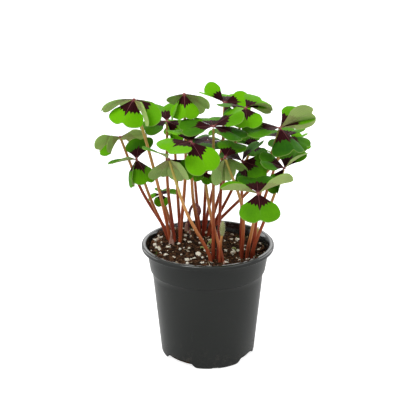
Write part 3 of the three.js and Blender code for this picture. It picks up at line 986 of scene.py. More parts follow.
@dataclass
class NurseryPot:
    """A thin round nursery pot with a rolled lip, a stepped collar and notched feet."""

    palette: Palette
    height: float = 102.0
    wall: float = 1.4
    floor: float = 1.6
    lip_radius: float = 57.0
    lip_drop: float = 4.5
    throat_radius: float = 53.4
    neck_radius: float = 52.6
    collar_foot: Pair = (49.9, 78.5)
    body_top: Pair = (48.2, 77.3)
    body_foot: Pair = (41.3, 3.2)
    base_radius: float = 39.4
    sides: int = 144
    notches: tuple[Triple, ...] = (
        (-128, 23, 6.2), (-33, 17, 6.2), (52, 23, 6.2), (147, 17, 6.2), (-81, 5, 1.5),
    )
    splay: float = 0.95
    notch_reach: Pair = (30.5, 45.0)

    def profile(self) -> list[Pair]:
        """The rings from the inner floor, over the lip and down to the base."""
        wall, lip_foot = self.wall, self.height - self.lip_drop
        (collar_radius, collar_height), (body_radius, body_height) = self.collar_foot, self.body_top
        foot_radius, foot_height = self.body_foot
        inside = (foot_radius - wall, foot_height), (body_radius - wall, body_height)
        inner = [
            (self.base_radius - wall - 1.2, self.floor),
            (self.base_radius - wall + 0.2, self.floor + 0.5),
            (foot_radius - wall, foot_height + 0.6),
            *between(*inside, 0.25, 0.5, 0.75, 0.97),
            (collar_radius - wall - 0.35, collar_height - 0.5),
            (collar_radius - wall, collar_height + 0.2),
            (self.neck_radius - wall - 0.1, lip_foot - 1.6),
            (self.neck_radius - wall + 0.25, lip_foot - 0.4),
            (self.throat_radius - 0.9, self.height - 2.0),
            (self.throat_radius - 0.4, self.height - 1.1),
        ]
        lip = [
            *arc((self.throat_radius + 0.9, self.height - 1.25), 1.25, 165, 92, 5),
            *arc((self.lip_radius - 1.7, self.height - 1.7), 1.7, 88, 5, 8),
            *arc((self.lip_radius - 1.3, lip_foot + 1.3), 1.3, -5, -95, 6),
        ]
        neck_foot = (self.neck_radius, lip_foot - 1.4)
        collar = [
            (self.neck_radius + 1.4, lip_foot - 0.05),
            (self.neck_radius + 0.35, lip_foot - 0.5),
            neck_foot,
            *between(neck_foot, (collar_radius, collar_height + 0.7), 0.33, 0.66, 1.0),
            (collar_radius - 0.12, collar_height + 0.15),
            (collar_radius - 0.5, collar_height - 0.2),
        ]
        body = [
            (body_radius + 0.35, body_height + 0.35),
            (body_radius, body_height - 0.2),
            *between(self.body_top, self.body_foot, 0.06, 0.25, 0.5, 0.75, 0.94),
        ]
        foot = arc((foot_radius - 3.2, foot_height), 3.2, -2, -80, 7)
        foot = [(radius, max(0.0, height)) for radius, height in foot]
        return inner + lip + collar + body + foot + [(self.base_radius - 1.6, 0.0), (20.0, 0.0), (6.0, 0.0)]

    def notch(self, bearing: float, width: float, height: float) -> Piece:
        """Models the block that cuts one notch, narrower at its top than at the ground.

        Args:
            bearing: Where it cuts, in degrees.
            width: Its width at the top.
            height: Its height above the ground.

        Returns:
            The block.
        """
        inner, outer = self.notch_reach
        cutter = primitive("notch_block", bpy.ops.mesh.primitive_cube_add, size=1)
        with editing():
            bpy.ops.mesh.select_all(action="SELECT")
            bpy.ops.transform.resize(value=((outer - inner) * MM, width * MM, 2 * height * MM))
        spread = 1 + 4 * self.splay * height / width

        def splayed(co: Vector) -> Vector:
            return Vector((co.x, co.y * (spread if co.z < 0 else 1), co.z))

        reshape(cutter, splayed)
        for edge in cutter.data.edges:
            ends = [cutter.data.vertices[i].co for i in edge.vertices]
            edge.select = all(co.z > 0 for co in ends) and abs(ends[0].x - ends[1].x) > 1e-5
        with editing():
            bpy.ops.mesh.bevel(offset=min(width, height) * 0.25 * MM, segments=4, profile=0.5)
        turn = Matrix.Rotation(math.radians(bearing), 4, "Z")
        cutter.data.transform(turn @ Matrix.Translation(((inner + outer) / 2 * MM, 0, 0)))
        return cutter

    def build(self) -> Piece:
        """Models the pot, cuts its notches and gives it its finish."""
        pot = turned("nursery_pot", self.profile(), self.sides)
        cutters = [self.notch(*notch) for notch in self.notches]
        for cutter in cutters:
            finish_with(pot, "BOOLEAN", object=cutter, operation="DIFFERENCE", solver="EXACT")
        discard(*cutters)
        smooth(pot, 32)
        return finished(pot, self.palette.pot, Slot.POT, "pot")


# Potting mix

MIX_HEIGHT = 93.5


@dataclass
class PottingMix:
    """Peat and bark that fills the pot, heaped towards the back left, with perlite and roots."""

    palette: Palette
    height: float = MIX_HEIGHT
    crown: float = 1.5
    heap: tuple[float, float, float, float] = (-40.0, 33.0, 8.5, 22.0)
    rim_radius: float = 50.3
    sides: int = 300
    rings: int = 58
    crumb_count: int = 2300
    perlite_count: int = 210
    root_count: int = 26
    tilt: float = 0.7
    grains: tuple[Triple, ...] = (
        (-45.0, 12.0, 2.6), (-41.0, 16.5, 1.6), (-33.3, 24.5, 1.9), (-42.2, -2.3, 1.8), (-35.5, -13.8, 1.7),
        (-17.0, -22.8, 2.0), (-8.1, -10.2, 2.0), (-2.8, -22.8, 1.6), (-19.8, 20.5, 1.3), (-20.5, 12.0, 1.3),
        (-25.3, 6.7, 1.4), (-46.0, 4.0, 1.6), (-29.2, 9.6, 1.2), (-2.5, 34.4, 1.8), (-28.8, -17.2, 1.5),
        (-23.9, -3.5, 1.4), (26.2, 25.5, 2.1), (20.7, 25.5, 1.7), (23.5, 18.1, 1.3), (22.0, -3.5, 1.9),
        (26.8, 1.2, 1.8), (14.9, -24.0, 1.9), (46.0, 14.0, 1.6), (44.0, 2.9, 1.2), (-1.5, -3.5, 1.8),
        (-7.7, -11.5, 1.7), (9.0, 40.0, 1.3), (22.0, 40.0, 1.3), (-38.0, 27.0, 1.4), (-30.0, 35.0, 1.5),
    )

    def level(self, x: float, y: float) -> float:
        """The height of the mix at a place, before its crumbs."""
        heap_x, heap_y, rise, spread = self.heap
        heap = math.exp(-((x - heap_x) ** 2 + (y - heap_y) ** 2) / (2 * spread**2))
        swell = math.sin(0.045 * (y - x) + 0.5) * math.cos(0.03 * (x + y))
        return self.height + self.crown * swell + rise * heap

    def surface(self, x: float, y: float) -> float:
        """The height of the mix at a place with its larger crumbs."""
        at = Vector((x, y, 0))
        lumps = noise.noise(at * 0.16) * 1.0 + noise.noise(at * 0.45) * 0.9
        bits = abs(noise.noise(at * 1.1)) * 1.9 + noise.noise(at * 2.3) * 0.6
        return self.level(x, y) + lumps + bits - 0.7

    def body(self) -> Piece:
        """Models the filling: a plug inside the pot whose top is crumbled."""
        profile = [(4.0, 2.0), (37.2, 2.0), (39.2, 3.4), (46.2, 76.4), (48.0, 79.0), (49.6, 90.0)]
        top = [(self.rim_radius * (1 - i / self.rings) + 0.25, self.height) for i in range(self.rings + 1)]
        body = turned("mix_body", profile + top, self.sides)

        def crumbled(co: Vector) -> Vector:
            if co.z < (self.height - 0.5) * MM:
                return co
            x, y = co.x / MM, co.y / MM
            return Vector((co.x, co.y, self.surface(x, y) * MM))

        reshape(body, crumbled)
        smooth(body, 180)
        return finished(body, self.palette.peat, Slot.MIX, "potting_mix")

    def chip(self, name: str, seed: int, rough: float) -> Piece:
        """Models one small angular chip, about one unit across.

        Args:
            name: The chip's name.
            seed: What its shape is drawn from.
            rough: How far its corners stray.

        Returns:
            The chip.
        """
        chip = primitive(name, bpy.ops.mesh.primitive_ico_sphere_add, subdivisions=1, radius=0.5)
        draw = random.Random(seed)
        reshape(chip, lambda co: co * (1 + rough * (draw.random() - 0.5) * 2))
        return chip

    def grain(self, name: str, seed: int, rough: float) -> Piece:
        """Models one rounded perlite grain, about one unit across, as chip does."""
        grain = primitive(name, bpy.ops.mesh.primitive_cube_add, size=1)
        with editing():
            bpy.ops.mesh.subdivide(number_cuts=1, smoothness=0)
            bpy.ops.transform.tosphere(value=0.75)
        draw = random.Random(seed)
        reshape(grain, lambda co: co * (1 + rough * (draw.random() - 0.5) * 2))
        smooth(grain, 60)
        return grain

    def scattered(self, count: int, seed: int) -> Iterable[tuple[float, float, random.Random]]:
        """Draws places spread evenly over the top of the mix."""
        draw = random.Random(seed)
        for _ in range(count):
            radius = (self.rim_radius - 0.8) * math.sqrt(draw.random())
            turn = draw.random() * math.tau
            yield radius * math.cos(turn), radius * math.sin(turn), draw

    def lay(
        self, pattern: Piece, x: float, y: float, size: Vector, draw: random.Random, sink: float
    ) -> Piece:
        """Lays a copy of a grain on the mix.

        Args:
            pattern: The grain.
            x: Where, in millimetres.
            y: Where, in millimetres.
            size: Its three sizes in millimetres.
            draw: What its turn is drawn from.
            sink: The share of its height that is buried.

        Returns:
            The copy.
        """
        turn = Matrix.Rotation(draw.random() * math.tau, 4, "Z")
        turn @= Matrix.Rotation((draw.random() - 0.5) * 2 * self.tilt, 4, "X")
        low = self.surface(x, y) + size.z * (0.5 - sink)
        scale = Matrix.Diagonal((size.x * MM, size.y * MM, size.z * MM, 1))
        return copied(pattern, "grain", Matrix.Translation((x * MM, y * MM, low * MM)) @ turn @ scale)

    def crumbs(self) -> Piece:
        """Scatters bark and peat crumbs over the mix."""
        patterns = [self.chip(f"chip_{i}", 40 + i, 0.4) for i in range(4)]
        laid = []
        for x, y, draw in self.scattered(self.crumb_count, 7):
            size = 0.7 + 2.6 * draw.random() ** 3
            sizes = Vector((size * (0.8 + 0.9 * draw.random()), size, size * (0.5 + 0.4 * draw.random())))
            laid.append(self.lay(draw.choice(patterns), x, y, sizes, draw, 0.3))
        discard(*patterns)
        return finished(joined(laid, "mix_crumbs"), self.palette.crumb, Slot.MIX)

    def perlite(self) -> Piece:
        """Lays the white grains: the large ones at listed places, the small ones at random."""
        patterns = [self.grain(f"perlite_{i}", 60 + i, 0.42) for i in range(4)]
        laid = []
        draw = random.Random(12)
        for x, y, radius in self.grains:
            sizes = Vector((radius * 1.7, radius * (1.1 + 0.5 * draw.random()), radius * 1.1))
            laid.append(self.lay(draw.choice(patterns), x, y, sizes, draw, 0.2))
        for x, y, draw in self.scattered(self.perlite_count, 19):
            size = 0.6 + 1.7 * draw.random() ** 2.4
            sizes = Vector((size * (0.9 + 0.7 * draw.random()), size, size * 0.8))
            laid.append(self.lay(draw.choice(patterns), x, y, sizes, draw, 0.25))
        discard(*patterns)
        return finished(joined(laid, "perlite"), self.palette.perlite, Slot.MIX)

    def roots(self, stem: StemBlank) -> Piece:
        """Lays short pale roots and curled fibres on the mix."""
        laid = []
        for x, y, draw in self.scattered(self.root_count, 31):
            turn = draw.random() * math.tau
            length = 4 + 8 * draw.random()
            bend = (draw.random() - 0.5) * 2.6
            radius = 0.16 + 0.28 * draw.random()
            stations = []
            for i in range(5):
                share = i / 4 - 0.5
                a = turn + bend * share
                px, py = x + length * share * math.cos(a), y + length * share * math.sin(a)
                reach = math.hypot(px, py)
                limit = self.rim_radius - 1
                if reach > limit:
                    px, py = px * limit / reach, py * limit / reach
                lift = 0.1 + 1.3 * math.sin(math.pi * i / 4) * draw.random()
                stations.append((px, py, self.surface(px, py) + lift, radius * (1 - abs(share))))
            laid.append(stem.bent("root", Strand(stations), 0.5))
        return finished(joined(laid, "surface_roots"), self.palette.root, Slot.MIX)


# Bulbs and petioles

CLUMPS: dict[str, Pair] = {
    "left": (-28.0, 13.0), "middle": (-4.0, 34.0), "front": (8.0, -22.0), "right": (33.0, -10.0),
}
FOOT_RING = 5.2


@dataclass
class Bulbs:
    """The buried bulbs that the clumps rise from, each in its papery tunic."""

    palette: Palette
    crown: Pair = (6.2, 78.0)
    belly: Pair = (7.5, 70.0)
    root: Pair = (2.4, 60.0)
    belly_share: float = 0.55
    rings: int = 24
    sides: int = 40

    def pattern(self) -> Piece:
        """Models one bulb with its overlapping scales, on the Z axis."""
        rings = []
        for i in range(self.rings + 1):
            t = i / self.rings
            below, above = t / self.belly_share, (t - self.belly_share) / (1 - self.belly_share)
            radius = lerp(self.root[0], self.belly[0], math.sin(min(1.0, below) * math.pi / 2))
            if above > 0:
                radius = lerp(self.belly[0], self.crown[0] - 2.6, above**2)
            rings.append((radius, lerp(self.root[1], self.crown[1] - 0.1, t)))
        bulb = turned("bulb_pattern", [(0.8, self.root[1]), *rings, (0.8, self.crown[1])], self.sides)

        def scaled(co: Vector) -> Vector:
            turn = math.atan2(co.y, co.x)
            ridge = 1 - 0.05 * abs(math.sin(turn * 2.5 + co.z / MM * 0.12)) ** 0.5
            return Vector((co.x * ridge, co.y * ridge, co.z))

        reshape(bulb, scaled)
        smooth(bulb, 50)
        return bulb

    def build(self) -> list[Piece]:
        """Sets a copy of the bulb under each clump."""
        pattern = self.pattern()
        made = []
        for name, (x, y) in CLUMPS.items():
            move = Matrix.Translation((x * MM, y * MM, 0)) @ Matrix.Rotation(x, 4, "Z")
            bulb = copied(pattern, f"tunic_{name}", move)
            made.append(finished(bulb, self.palette.tunic, Slot.BULB, f"bulb_{name}"))
        discard(pattern)
        return made


@dataclass(frozen=True)
class Leaflet:
    """One leaflet's stance in degrees, and its shade from 0, deep green, to 1, bright green: partly its
    age, partly painted light and painted shade for how lit it stands.
    """

    bearing: float
    pitch: float
    roll: float
    fold: float
    arch: float
    shade: float


@dataclass(frozen=True)
class Leaf:
    """One leaf: where it grows from, where its hub stands, and its four leaflets.

    The stem's shade runs from 0, deep red, to 1, tan and olive.
    """

    clump: str
    foot: float
    hub: tuple[float, float, float]
    bow: tuple[float, float]
    length: float
    stem: float
    leaflets: tuple[Leaflet, ...]


def leaf(
    clump: str, foot: float, hub: tuple, bow: tuple, length: float, stem: float, *leaflets: tuple
) -> Leaf:
    """Writes one row of the table of leaves."""
    return Leaf(clump, foot, hub, bow, length, stem, tuple(Leaflet(*row) for row in leaflets))


# Each leaflet's last number is its shade, partly age and partly painted light and shade: high for lit
# leaflets, low for leaflets that stand in shadow.
LEAVES: tuple[Leaf, ...] = (
    leaf("left", -135, (-58, -25, 231), (2, -2), 28, 0.95,
         (-114, -38, -16, -20, 50, 0.92), (-176, -21, 20, 4, 40, 0.7),
         (-55, -46, -16, 58, 30, 0.7), (85, -34, 0, 10, 30, 0.7)),
    leaf("left", -98, (-34, 10, 205.5), (-3, 2), 24, 0.3,
         (-150, -16, -10, 0, 36, 0.3), (100, 22, 0, 16, 20, 0.6),
         (0, -34, 16, 8, 30, 0.7), (-64, -56, 0, 62, 30, 0.8)),
    leaf("left", -48, (-19, -8, 232), (3, 0), 24, 0.75,
         (-86, -50, 0, -24, 44, 0.95), (-152, -62, 26, 4, 40, 0.6),
         (8, -38, -40, -6, 36, 0.75), (100, -34, 0, 8, 30, 0.5)),
    leaf("front", 81, (14, 20, 219), (0, 3), 23, 0.2,
         (147, 14, -25, 45, 30, 1.0), (6, -4, 38, 8, 30, 1.0),
         (78, 6, 0, 10, 24, 0.9), (-66, -12, 0, -60, 18, 0.3)),
    leaf("middle", -44, (30.5, -10, 221), (0, 3), 24, 0.5,
         (4, -10, -26, 0, 80, 0.8), (-88, -33, 0, 10, 30, 0.8),
         (157, 3, 9, 0, 22, 0.25), (50, 6, 20, 8, 24, 0.7)),
    leaf("front", 130, (4.5, -26, 209.5), (0, -2), 28, 0.45,
         (-3, 29, 14, -6, 24, 0.62), (-23, -17, 2, 4, 24, 0.1),
         (-166, -5, -12, 8, 28, 0.2), (98, 0, 0, 12, 20, 0.5)),
    leaf("middle", -140, (-13, -44, 201.5), (-2, -6), 29, 0.7,
         (-134, -5, -8, 6, 30, 0.85), (-42, -52, 20, 4, 42, 1.0),
         (104, 5, 0, 10, 26, 0.85), (48, -60, 0, 10, 30, 0.3)),
    leaf("left", 170, (-59, -6, 177), (-2, 4), 24, 0.6,
         (82, 34, -14, 4, 16, 0.22), (-150, -4, 18, 14, 20, 0.3),
         (-98, -66, 70, 20, 20, 0.35), (-48, -50, 0, -12, 36, 0.6)),
    leaf("left", 130, (-74, 14, 191), (-4, 0), 23, 0.1,
         (-172, -34, 42, 20, 40, 0.85), (4, -10, -48, 8, 30, 0.8),
         (-112, -30, 52, 40, 24, 0.6), (100, -22, 0, 10, 24, 0.5)),
    leaf("front", -165, (-31, -34, 185), (-3, -4), 24, 1.0,
         (128, -56, 0, 4, 30, 0.35), (16, -54, -35, -6, 30, 0.4),
         (-140, 26, 0, 10, 30, 0.4), (-30, -44, 10, 66, 20, 0.5)),
    leaf("middle", -92, (0, 16, 187), (0, 2), 23, 0.15,
         (-68, -6, 0, 8, 30, 0.3), (130, -8, 0, 12, 24, 0.15),
         (-150, -12, 0, 10, 30, 0.1), (50, -12, 0, 10, 24, 0.2)),
    leaf("right", -4, (58, -16, 206), (-4, 6), 31, 0.55,
         (38, 9, 16, 24, 16, 0.65), (2, 23, -50, 2, 24, 0.8),
         (-68, -26, 6, -36, 34, 0.08), (-162, -6, -8, 8, 34, 0.35)),
    leaf("middle", 2, (38, 12, 183), (0, 0), 18, 0.2,
         (30, -24, 0, 6, 26, 0.4), (150, 4, 0, 24, 24, 0.35),
         (104, 28, 0, 8, 20, 0.45), (-80, -14, 0, 12, 24, 0.3)),
    leaf("right", 84, (66, 30, 186), (0, 0), 24, 0.25,
         (-24, -16, 14, -4, 34, 0.2), (60, 8, 0, 16, 20, 0.4),
         (150, 0, 0, 10, 24, 0.3), (-100, -10, 0, 10, 24, 0.2)),
    leaf("middle", 45, (76, 50, 176), (0, 0), 17, 0.4,
         (-50, -10, 6, 4, 30, 1.0), (-128, -30, 0, 8, 30, 0.6),
         (52, 16, 0, 30, 20, 0.8), (140, 0, 0, 10, 24, 0.5)),
    leaf("right", -135, (13.5, -40, 188), (7, -3), 23, 0.6,
         (66, 18, 8, 6, 24, 0.4), (20, -36, -14, -8, 50, 0.4),
         (84, -78, 0, 50, 24, 0.6), (170, -84, 0, 40, 20, 0.3)),
    leaf("right", 150, (28, -18, 179), (0, 0), 24, 0.15,
         (-14, -20, 52, 0, 20, 0.4), (34, 34, -20, 10, 30, 0.25),
         (150, 4, 0, 12, 24, 0.3), (-52, -75, 0, 8, 30, 0.1)),
    leaf("right", -44, (62, -22, 174), (0, 0), 23, 0.5,
         (52, 30, 0, 4, 20, 0.45), (-170, 20, -22, 10, 24, 0.2),
         (-4, 34, -18, 10, 20, 0.5), (-124, -62, 0, 60, 24, 0.3)),
    leaf("right", -90, (39, -58, 164), (0, -4), 30, 0.65,
         (-88, -34, 0, -4, 50, 0.45), (-178, 4, 14, 26, 24, 0.65),
         (90, 8, 0, 10, 24, 0.12), (1, 20, -30, 18, 24, 0.75)),
    leaf("left", 88, (-41, 36, 133), (0, 0), 14, 0.4,
         (180, -30, 0, 20, 30, 0.75), (0, 0, 0, 20, 30, 0.6),
         (90, 0, 0, 20, 24, 0.5), (-90, -40, 0, 30, 24, 0.6)),
    leaf("front", -30, (-3, 0, 164), (-2, 0), 14, 0.7,
         (-60, -34, 0, 8, 30, 0.4), (-140, -24, 0, 8, 30, 0.4),
         (76, -10, 0, 10, 24, 0.4), (160, 0, 0, 10, 24, 0.4)),
    leaf("left", 40, (-30, 44, 194), (0, 0), 14, 0.3,
         (-98, -30, 0, 10, 30, 0.6), (168, 0, 0, 16, 20, 0.5),
         (80, 6, 0, 10, 24, 0.5), (0, -18, 0, 10, 30, 0.5)),
    leaf("middle", 131, (-14, 46, 176), (0, 0), 16, 0.3,
         (-20, -28, 0, 8, 36, 0.2), (70, -10, 0, 10, 30, 0.3),
         (160, -6, 0, 10, 30, 0.2), (-110, -10, 0, 10, 30, 0.2)),
    leaf("middle", 88, (16, 62, 186), (0, 0), 17, 0.3,
         (0, -20, 0, 10, 30, 0.3), (90, -35, 0, 8, 40, 0.5),
         (180, -20, 0, 10, 30, 0.3), (-90, 4, 0, 10, 24, 0.3)),
)


@dataclass(frozen=True)
class Down:
    """Fine hairs, all copied from one thin cone. A hair's width is a share of its length.

    Its length is a share, drawn from the least and the spread above it, of the full length.
    """

    width: float
    length: float
    least: float
    spread: float
    lean: float
    seat: float

    def pattern(self) -> Piece:
        """Models the hair, one unit long."""
        return spine("hair", 3, self.width)

    def hair(self, pattern: Piece, strand: Strand, share: float, draw: random.Random) -> Piece:
        """Sets one hair on a strand.

        Args:
            pattern: The hair to copy.
            strand: The line that carries it.
            share: How far along the strand it stands.
            draw: What its side, lean and length are drawn from.

        Returns:
            The hair.
        """
        tangent = strand.tangent(share)
        side = tangent.orthogonal().normalized()
        side.rotate(Matrix.Rotation(draw.random() * math.tau, 3, tangent))
        out = (side + tangent * (self.lean + draw.random())).normalized()
        root = strand.point(share) + side * strand.radius(share) * self.seat
        size = self.length * (self.least + self.spread * draw.random()) * MM
        turn = out.to_track_quat("Z", "Y").to_matrix().to_4x4()
        return copied(pattern, "hair", Matrix.Translation(root * MM) @ turn @ Matrix.Scale(size, 4))


@dataclass
class Petioles:
    """The long bare stalks that carry the leaves."""

    palette: Palette
    stem: StemBlank
    foot_radius: float = 1.55
    tip_radius: float = 1.05
    foot_height: float = 78.4
    rise: float = 0.03
    hub_gap: float = 1.7
    hair_step: float = 0.03
    hairy: Pair = (0.4, 0.99)
    down: Down = Down(width=0.035, length=1.0, least=0.5, spread=0.6, lean=-0.3, seat=0.9)

    def strand(self, plan: Leaf) -> Strand:
        """The stalk's line, from the crown of its bulb to just under the hub of its leaf."""
        cx, cy = CLUMPS[plan.clump]
        foot = math.radians(plan.foot)
        x, y = cx + FOOT_RING * math.cos(foot), cy + FOOT_RING * math.sin(foot)
        end = Vector(plan.hub)
        ground = Vector((x, y, MIX_HEIGHT)).lerp(end, self.rise)
        middle = ground.lerp(end, 0.5) + Vector((*plan.bow, 0))
        end = end - (end - middle).normalized() * self.hub_gap
        waist = (self.foot_radius + self.tip_radius) / 2
        start = (x, y, self.foot_height, self.foot_radius)
        return Strand((start, (*ground, self.foot_radius), (*middle, waist), (*end, self.tip_radius)))

    def build(self) -> list[Piece]:
        """Bends one stalk for each leaf."""
        made = []
        for index, plan in enumerate(LEAVES, 1):
            stalk = self.stem.bent(f"stalk_{index:02d}", self.strand(plan), plan.stem)
            made.append(finished(stalk, self.palette.petiole, Slot.PETIOLE, f"petiole_{index:02d}"))
        return made

    def hairs(self) -> Piece:
        """Sets short fine hairs on the upper half of each stalk."""
        hair = self.down.pattern()
        draw = random.Random(5)
        low, high = self.hairy
        laid = []
        for plan in LEAVES:
            strand = self.strand(plan)
            share = low
            while share < high:
                share += self.hair_step * (0.5 + draw.random())
                laid.append(self.down.hair(hair, strand, min(share, high), draw))
        discard(hair)
        return finished(joined(laid, "stalk_hairs"), self.palette.down, Slot.PETIOLE)


# Leaves


@dataclass
class Leaves:
    """The blades: four fan-shaped leaflets on a small hub, all bent from one flat blank."""

    palette: Palette
    half_angle: float = 47.0
    base_squeeze: float = 0.26
    notch_depth: float = 0.09
    notch_angle: float = 7.0
    shoulder_drop: float = 0.4
    curl: float = 0.16
    wave: float = 0.02
    swell: float = 0.0032
    groove_width: float = 0.022
    groove_depth: float = 0.006
    thickness: float = 0.42
    rays: int = 36
    rings: int = 24
    first_ring: float = 0.035
    hub_radius: float = 1.2

    def margin(self, ray: float) -> float:
        """The distance from hub to margin along a ray, as a share of the leaflet's length."""
        angle = abs(ray) * self.half_angle
        notch = self.notch_depth * math.exp(-((angle / self.notch_angle) ** 2))
        return 1 - notch - self.shoulder_drop * abs(ray) ** 5

    def flat(self, ray: float, ring: float) -> Pair:
        """A point of the flat leaflet, as (along, across) in shares of its length."""
        reach = ring * self.margin(ray)
        squeeze = 1 - self.base_squeeze * (1 - ring)
        angle = math.radians(self.half_angle) * ray * squeeze
        return reach * math.cos(angle), reach * math.sin(angle)

    def relief(self, along: float, across: float, ring: float) -> float:
        """How far veins sink and tissue swells at a point, as a share of the length."""
        bearing = math.atan2(abs(across), along + VEIN_START)
        fan = abs(((bearing * VEINS_PER_RADIAN) % 1.0) - 0.5) * 2
        groove = max(0.0, 1 - abs(across) / self.groove_width)
        return self.swell * (0.5 - fan) * ring - self.groove_depth * groove * (1 - 0.6 * ring)

    def point(self, plan: Leaf, leaflet: Leaflet, phase: float, ray: float, ring: float) -> Vector:
        """The point of a leaflet's middle surface at a ray across it and a ring along it.

        Args:
            plan: The leaf.
            leaflet: Its leaflet.
            phase: Where the margin's wave starts.
            ray: From -1 at the right margin to 1 at the left.
            ring: From 0 at the hub to 1 at the margin.

        Returns:
            The point in millimetres.
        """
        stance = leaflet.bearing, leaflet.pitch, leaflet.roll, leaflet.fold, leaflet.arch
        bearing, pitch, roll, fold, arch = map(math.radians, stance)
        along, across = self.flat(ray, ring)
        forward = Vector((
            math.cos(pitch) * math.cos(bearing), math.cos(pitch) * math.sin(bearing), math.sin(pitch),
        ))
        level = Vector((-math.sin(bearing), math.cos(bearing), 0))
        upright = forward.cross(level)
        left = level * math.cos(roll) + upright * math.sin(roll)
        up = upright * math.cos(roll) - level * math.sin(roll)
        slope = arch / 2 - arch * along
        run = (math.sin(arch / 2) - math.sin(slope)) / arch
        rise = (math.cos(slope) - math.cos(arch / 2)) / arch
        lift = (
            abs(across) * math.sin(fold)
            - self.curl * across**2 * math.cos(fold)
            + self.wave * ring**2 * math.sin(7 * ray + phase)
            + self.relief(along, across, ring)
        )
        normal = up * math.cos(slope) - forward * math.sin(slope)
        offset = forward * run + up * rise + left * (across * math.cos(fold)) + normal * lift
        return Vector(plan.hub) + offset * plan.length

    def blank(self) -> Piece:
        """Models the flat leaflet blank: x is the ray and y the ring."""
        add = bpy.ops.mesh.primitive_grid_add
        blank = primitive("leaflet_blank", add, x_subdivisions=self.rays, y_subdivisions=self.rings, size=2)
        with editing():
            bpy.ops.mesh.select_all(action="SELECT")
            bpy.ops.transform.translate(value=(0, 1, 0))
            bpy.ops.transform.resize(value=(-1, 0.5, 1), center_override=(0, 0, 0))
        return blank

    def hub(self) -> Piece:
        """Models the small knob where the leaflets meet."""
        add = bpy.ops.mesh.primitive_uv_sphere_add
        hub = primitive("hub", add, segments=14, ring_count=8, radius=self.hub_radius * MM)

        def lobed(co: Vector) -> Vector:
            lobe = 1 + 0.12 * math.cos(4 * math.atan2(co.y, co.x))
            return Vector((co.x * lobe, co.y * lobe, co.z * 0.85))

        reshape(hub, lobed)
        smooth(hub, 180)
        return hub

    def bent(self, blank: Piece, plan: Leaf, leaflet: Leaflet, index: int, k: int) -> Piece:
        """Bends a copy of the blank into one leaflet.

        Args:
            blank: The flat blank.
            plan: The leaf.
            leaflet: Its leaflet.
            index: The leaf's number, from 0.
            k: The leaflet's number, from 0.

        Returns:
            The leaflet's middle surface, with its plan and place stored on it.
        """
        sheet = copied(blank, "leaflet")
        phase = 1.7 * index + 2.1 * k
        seed = random.Random(100 * index + k).random()

        def read(co: Vector) -> Pair:
            return co.x, lerp(self.first_ring, 1.0, co.y)

        def planned(co: Vector) -> Vector:
            along, across = self.flat(*read(co))
            return Vector((across, along, seed))

        paint(sheet, "plan", planned)
        # The stored shade is partly painted light and painted shade.
        paint(sheet, "spot_and_painted_light", lambda co: Vector((*read(co), leaflet.shade)))
        reshape(sheet, lambda co: self.point(plan, leaflet, phase, *read(co)) * MM)
        return sheet

    def build(self) -> list[Piece]:
        """Makes every leaf blade."""
        blank, hub = self.blank(), self.hub()
        dress(blank, self.palette.top, self.palette.under)
        dress(hub, self.palette.hub)
        made = []
        for index, plan in enumerate(LEAVES):
            sheets = [self.bent(blank, plan, leaflet, index, k) for k, leaflet in enumerate(plan.leaflets)]
            blade = joined(sheets, f"blade_{index + 1:02d}")
            finish_with(
                blade, "SOLIDIFY", thickness=self.thickness * MM, offset=0, use_even_offset=False,
                material_offset=1, material_offset_rim=0,
            )
            knob = copied(hub, "knob", Matrix.Translation(Vector(plan.hub) * MM))
            blade = joined([blade, knob], f"blade_{index + 1:02d}")
            smooth(blade, 75)
            made.append(settle(blade, Slot.BLADE, f"leaf_{index + 1:02d}"))
        discard(blank, hub)
        return made


# Young growth and small life on the mix


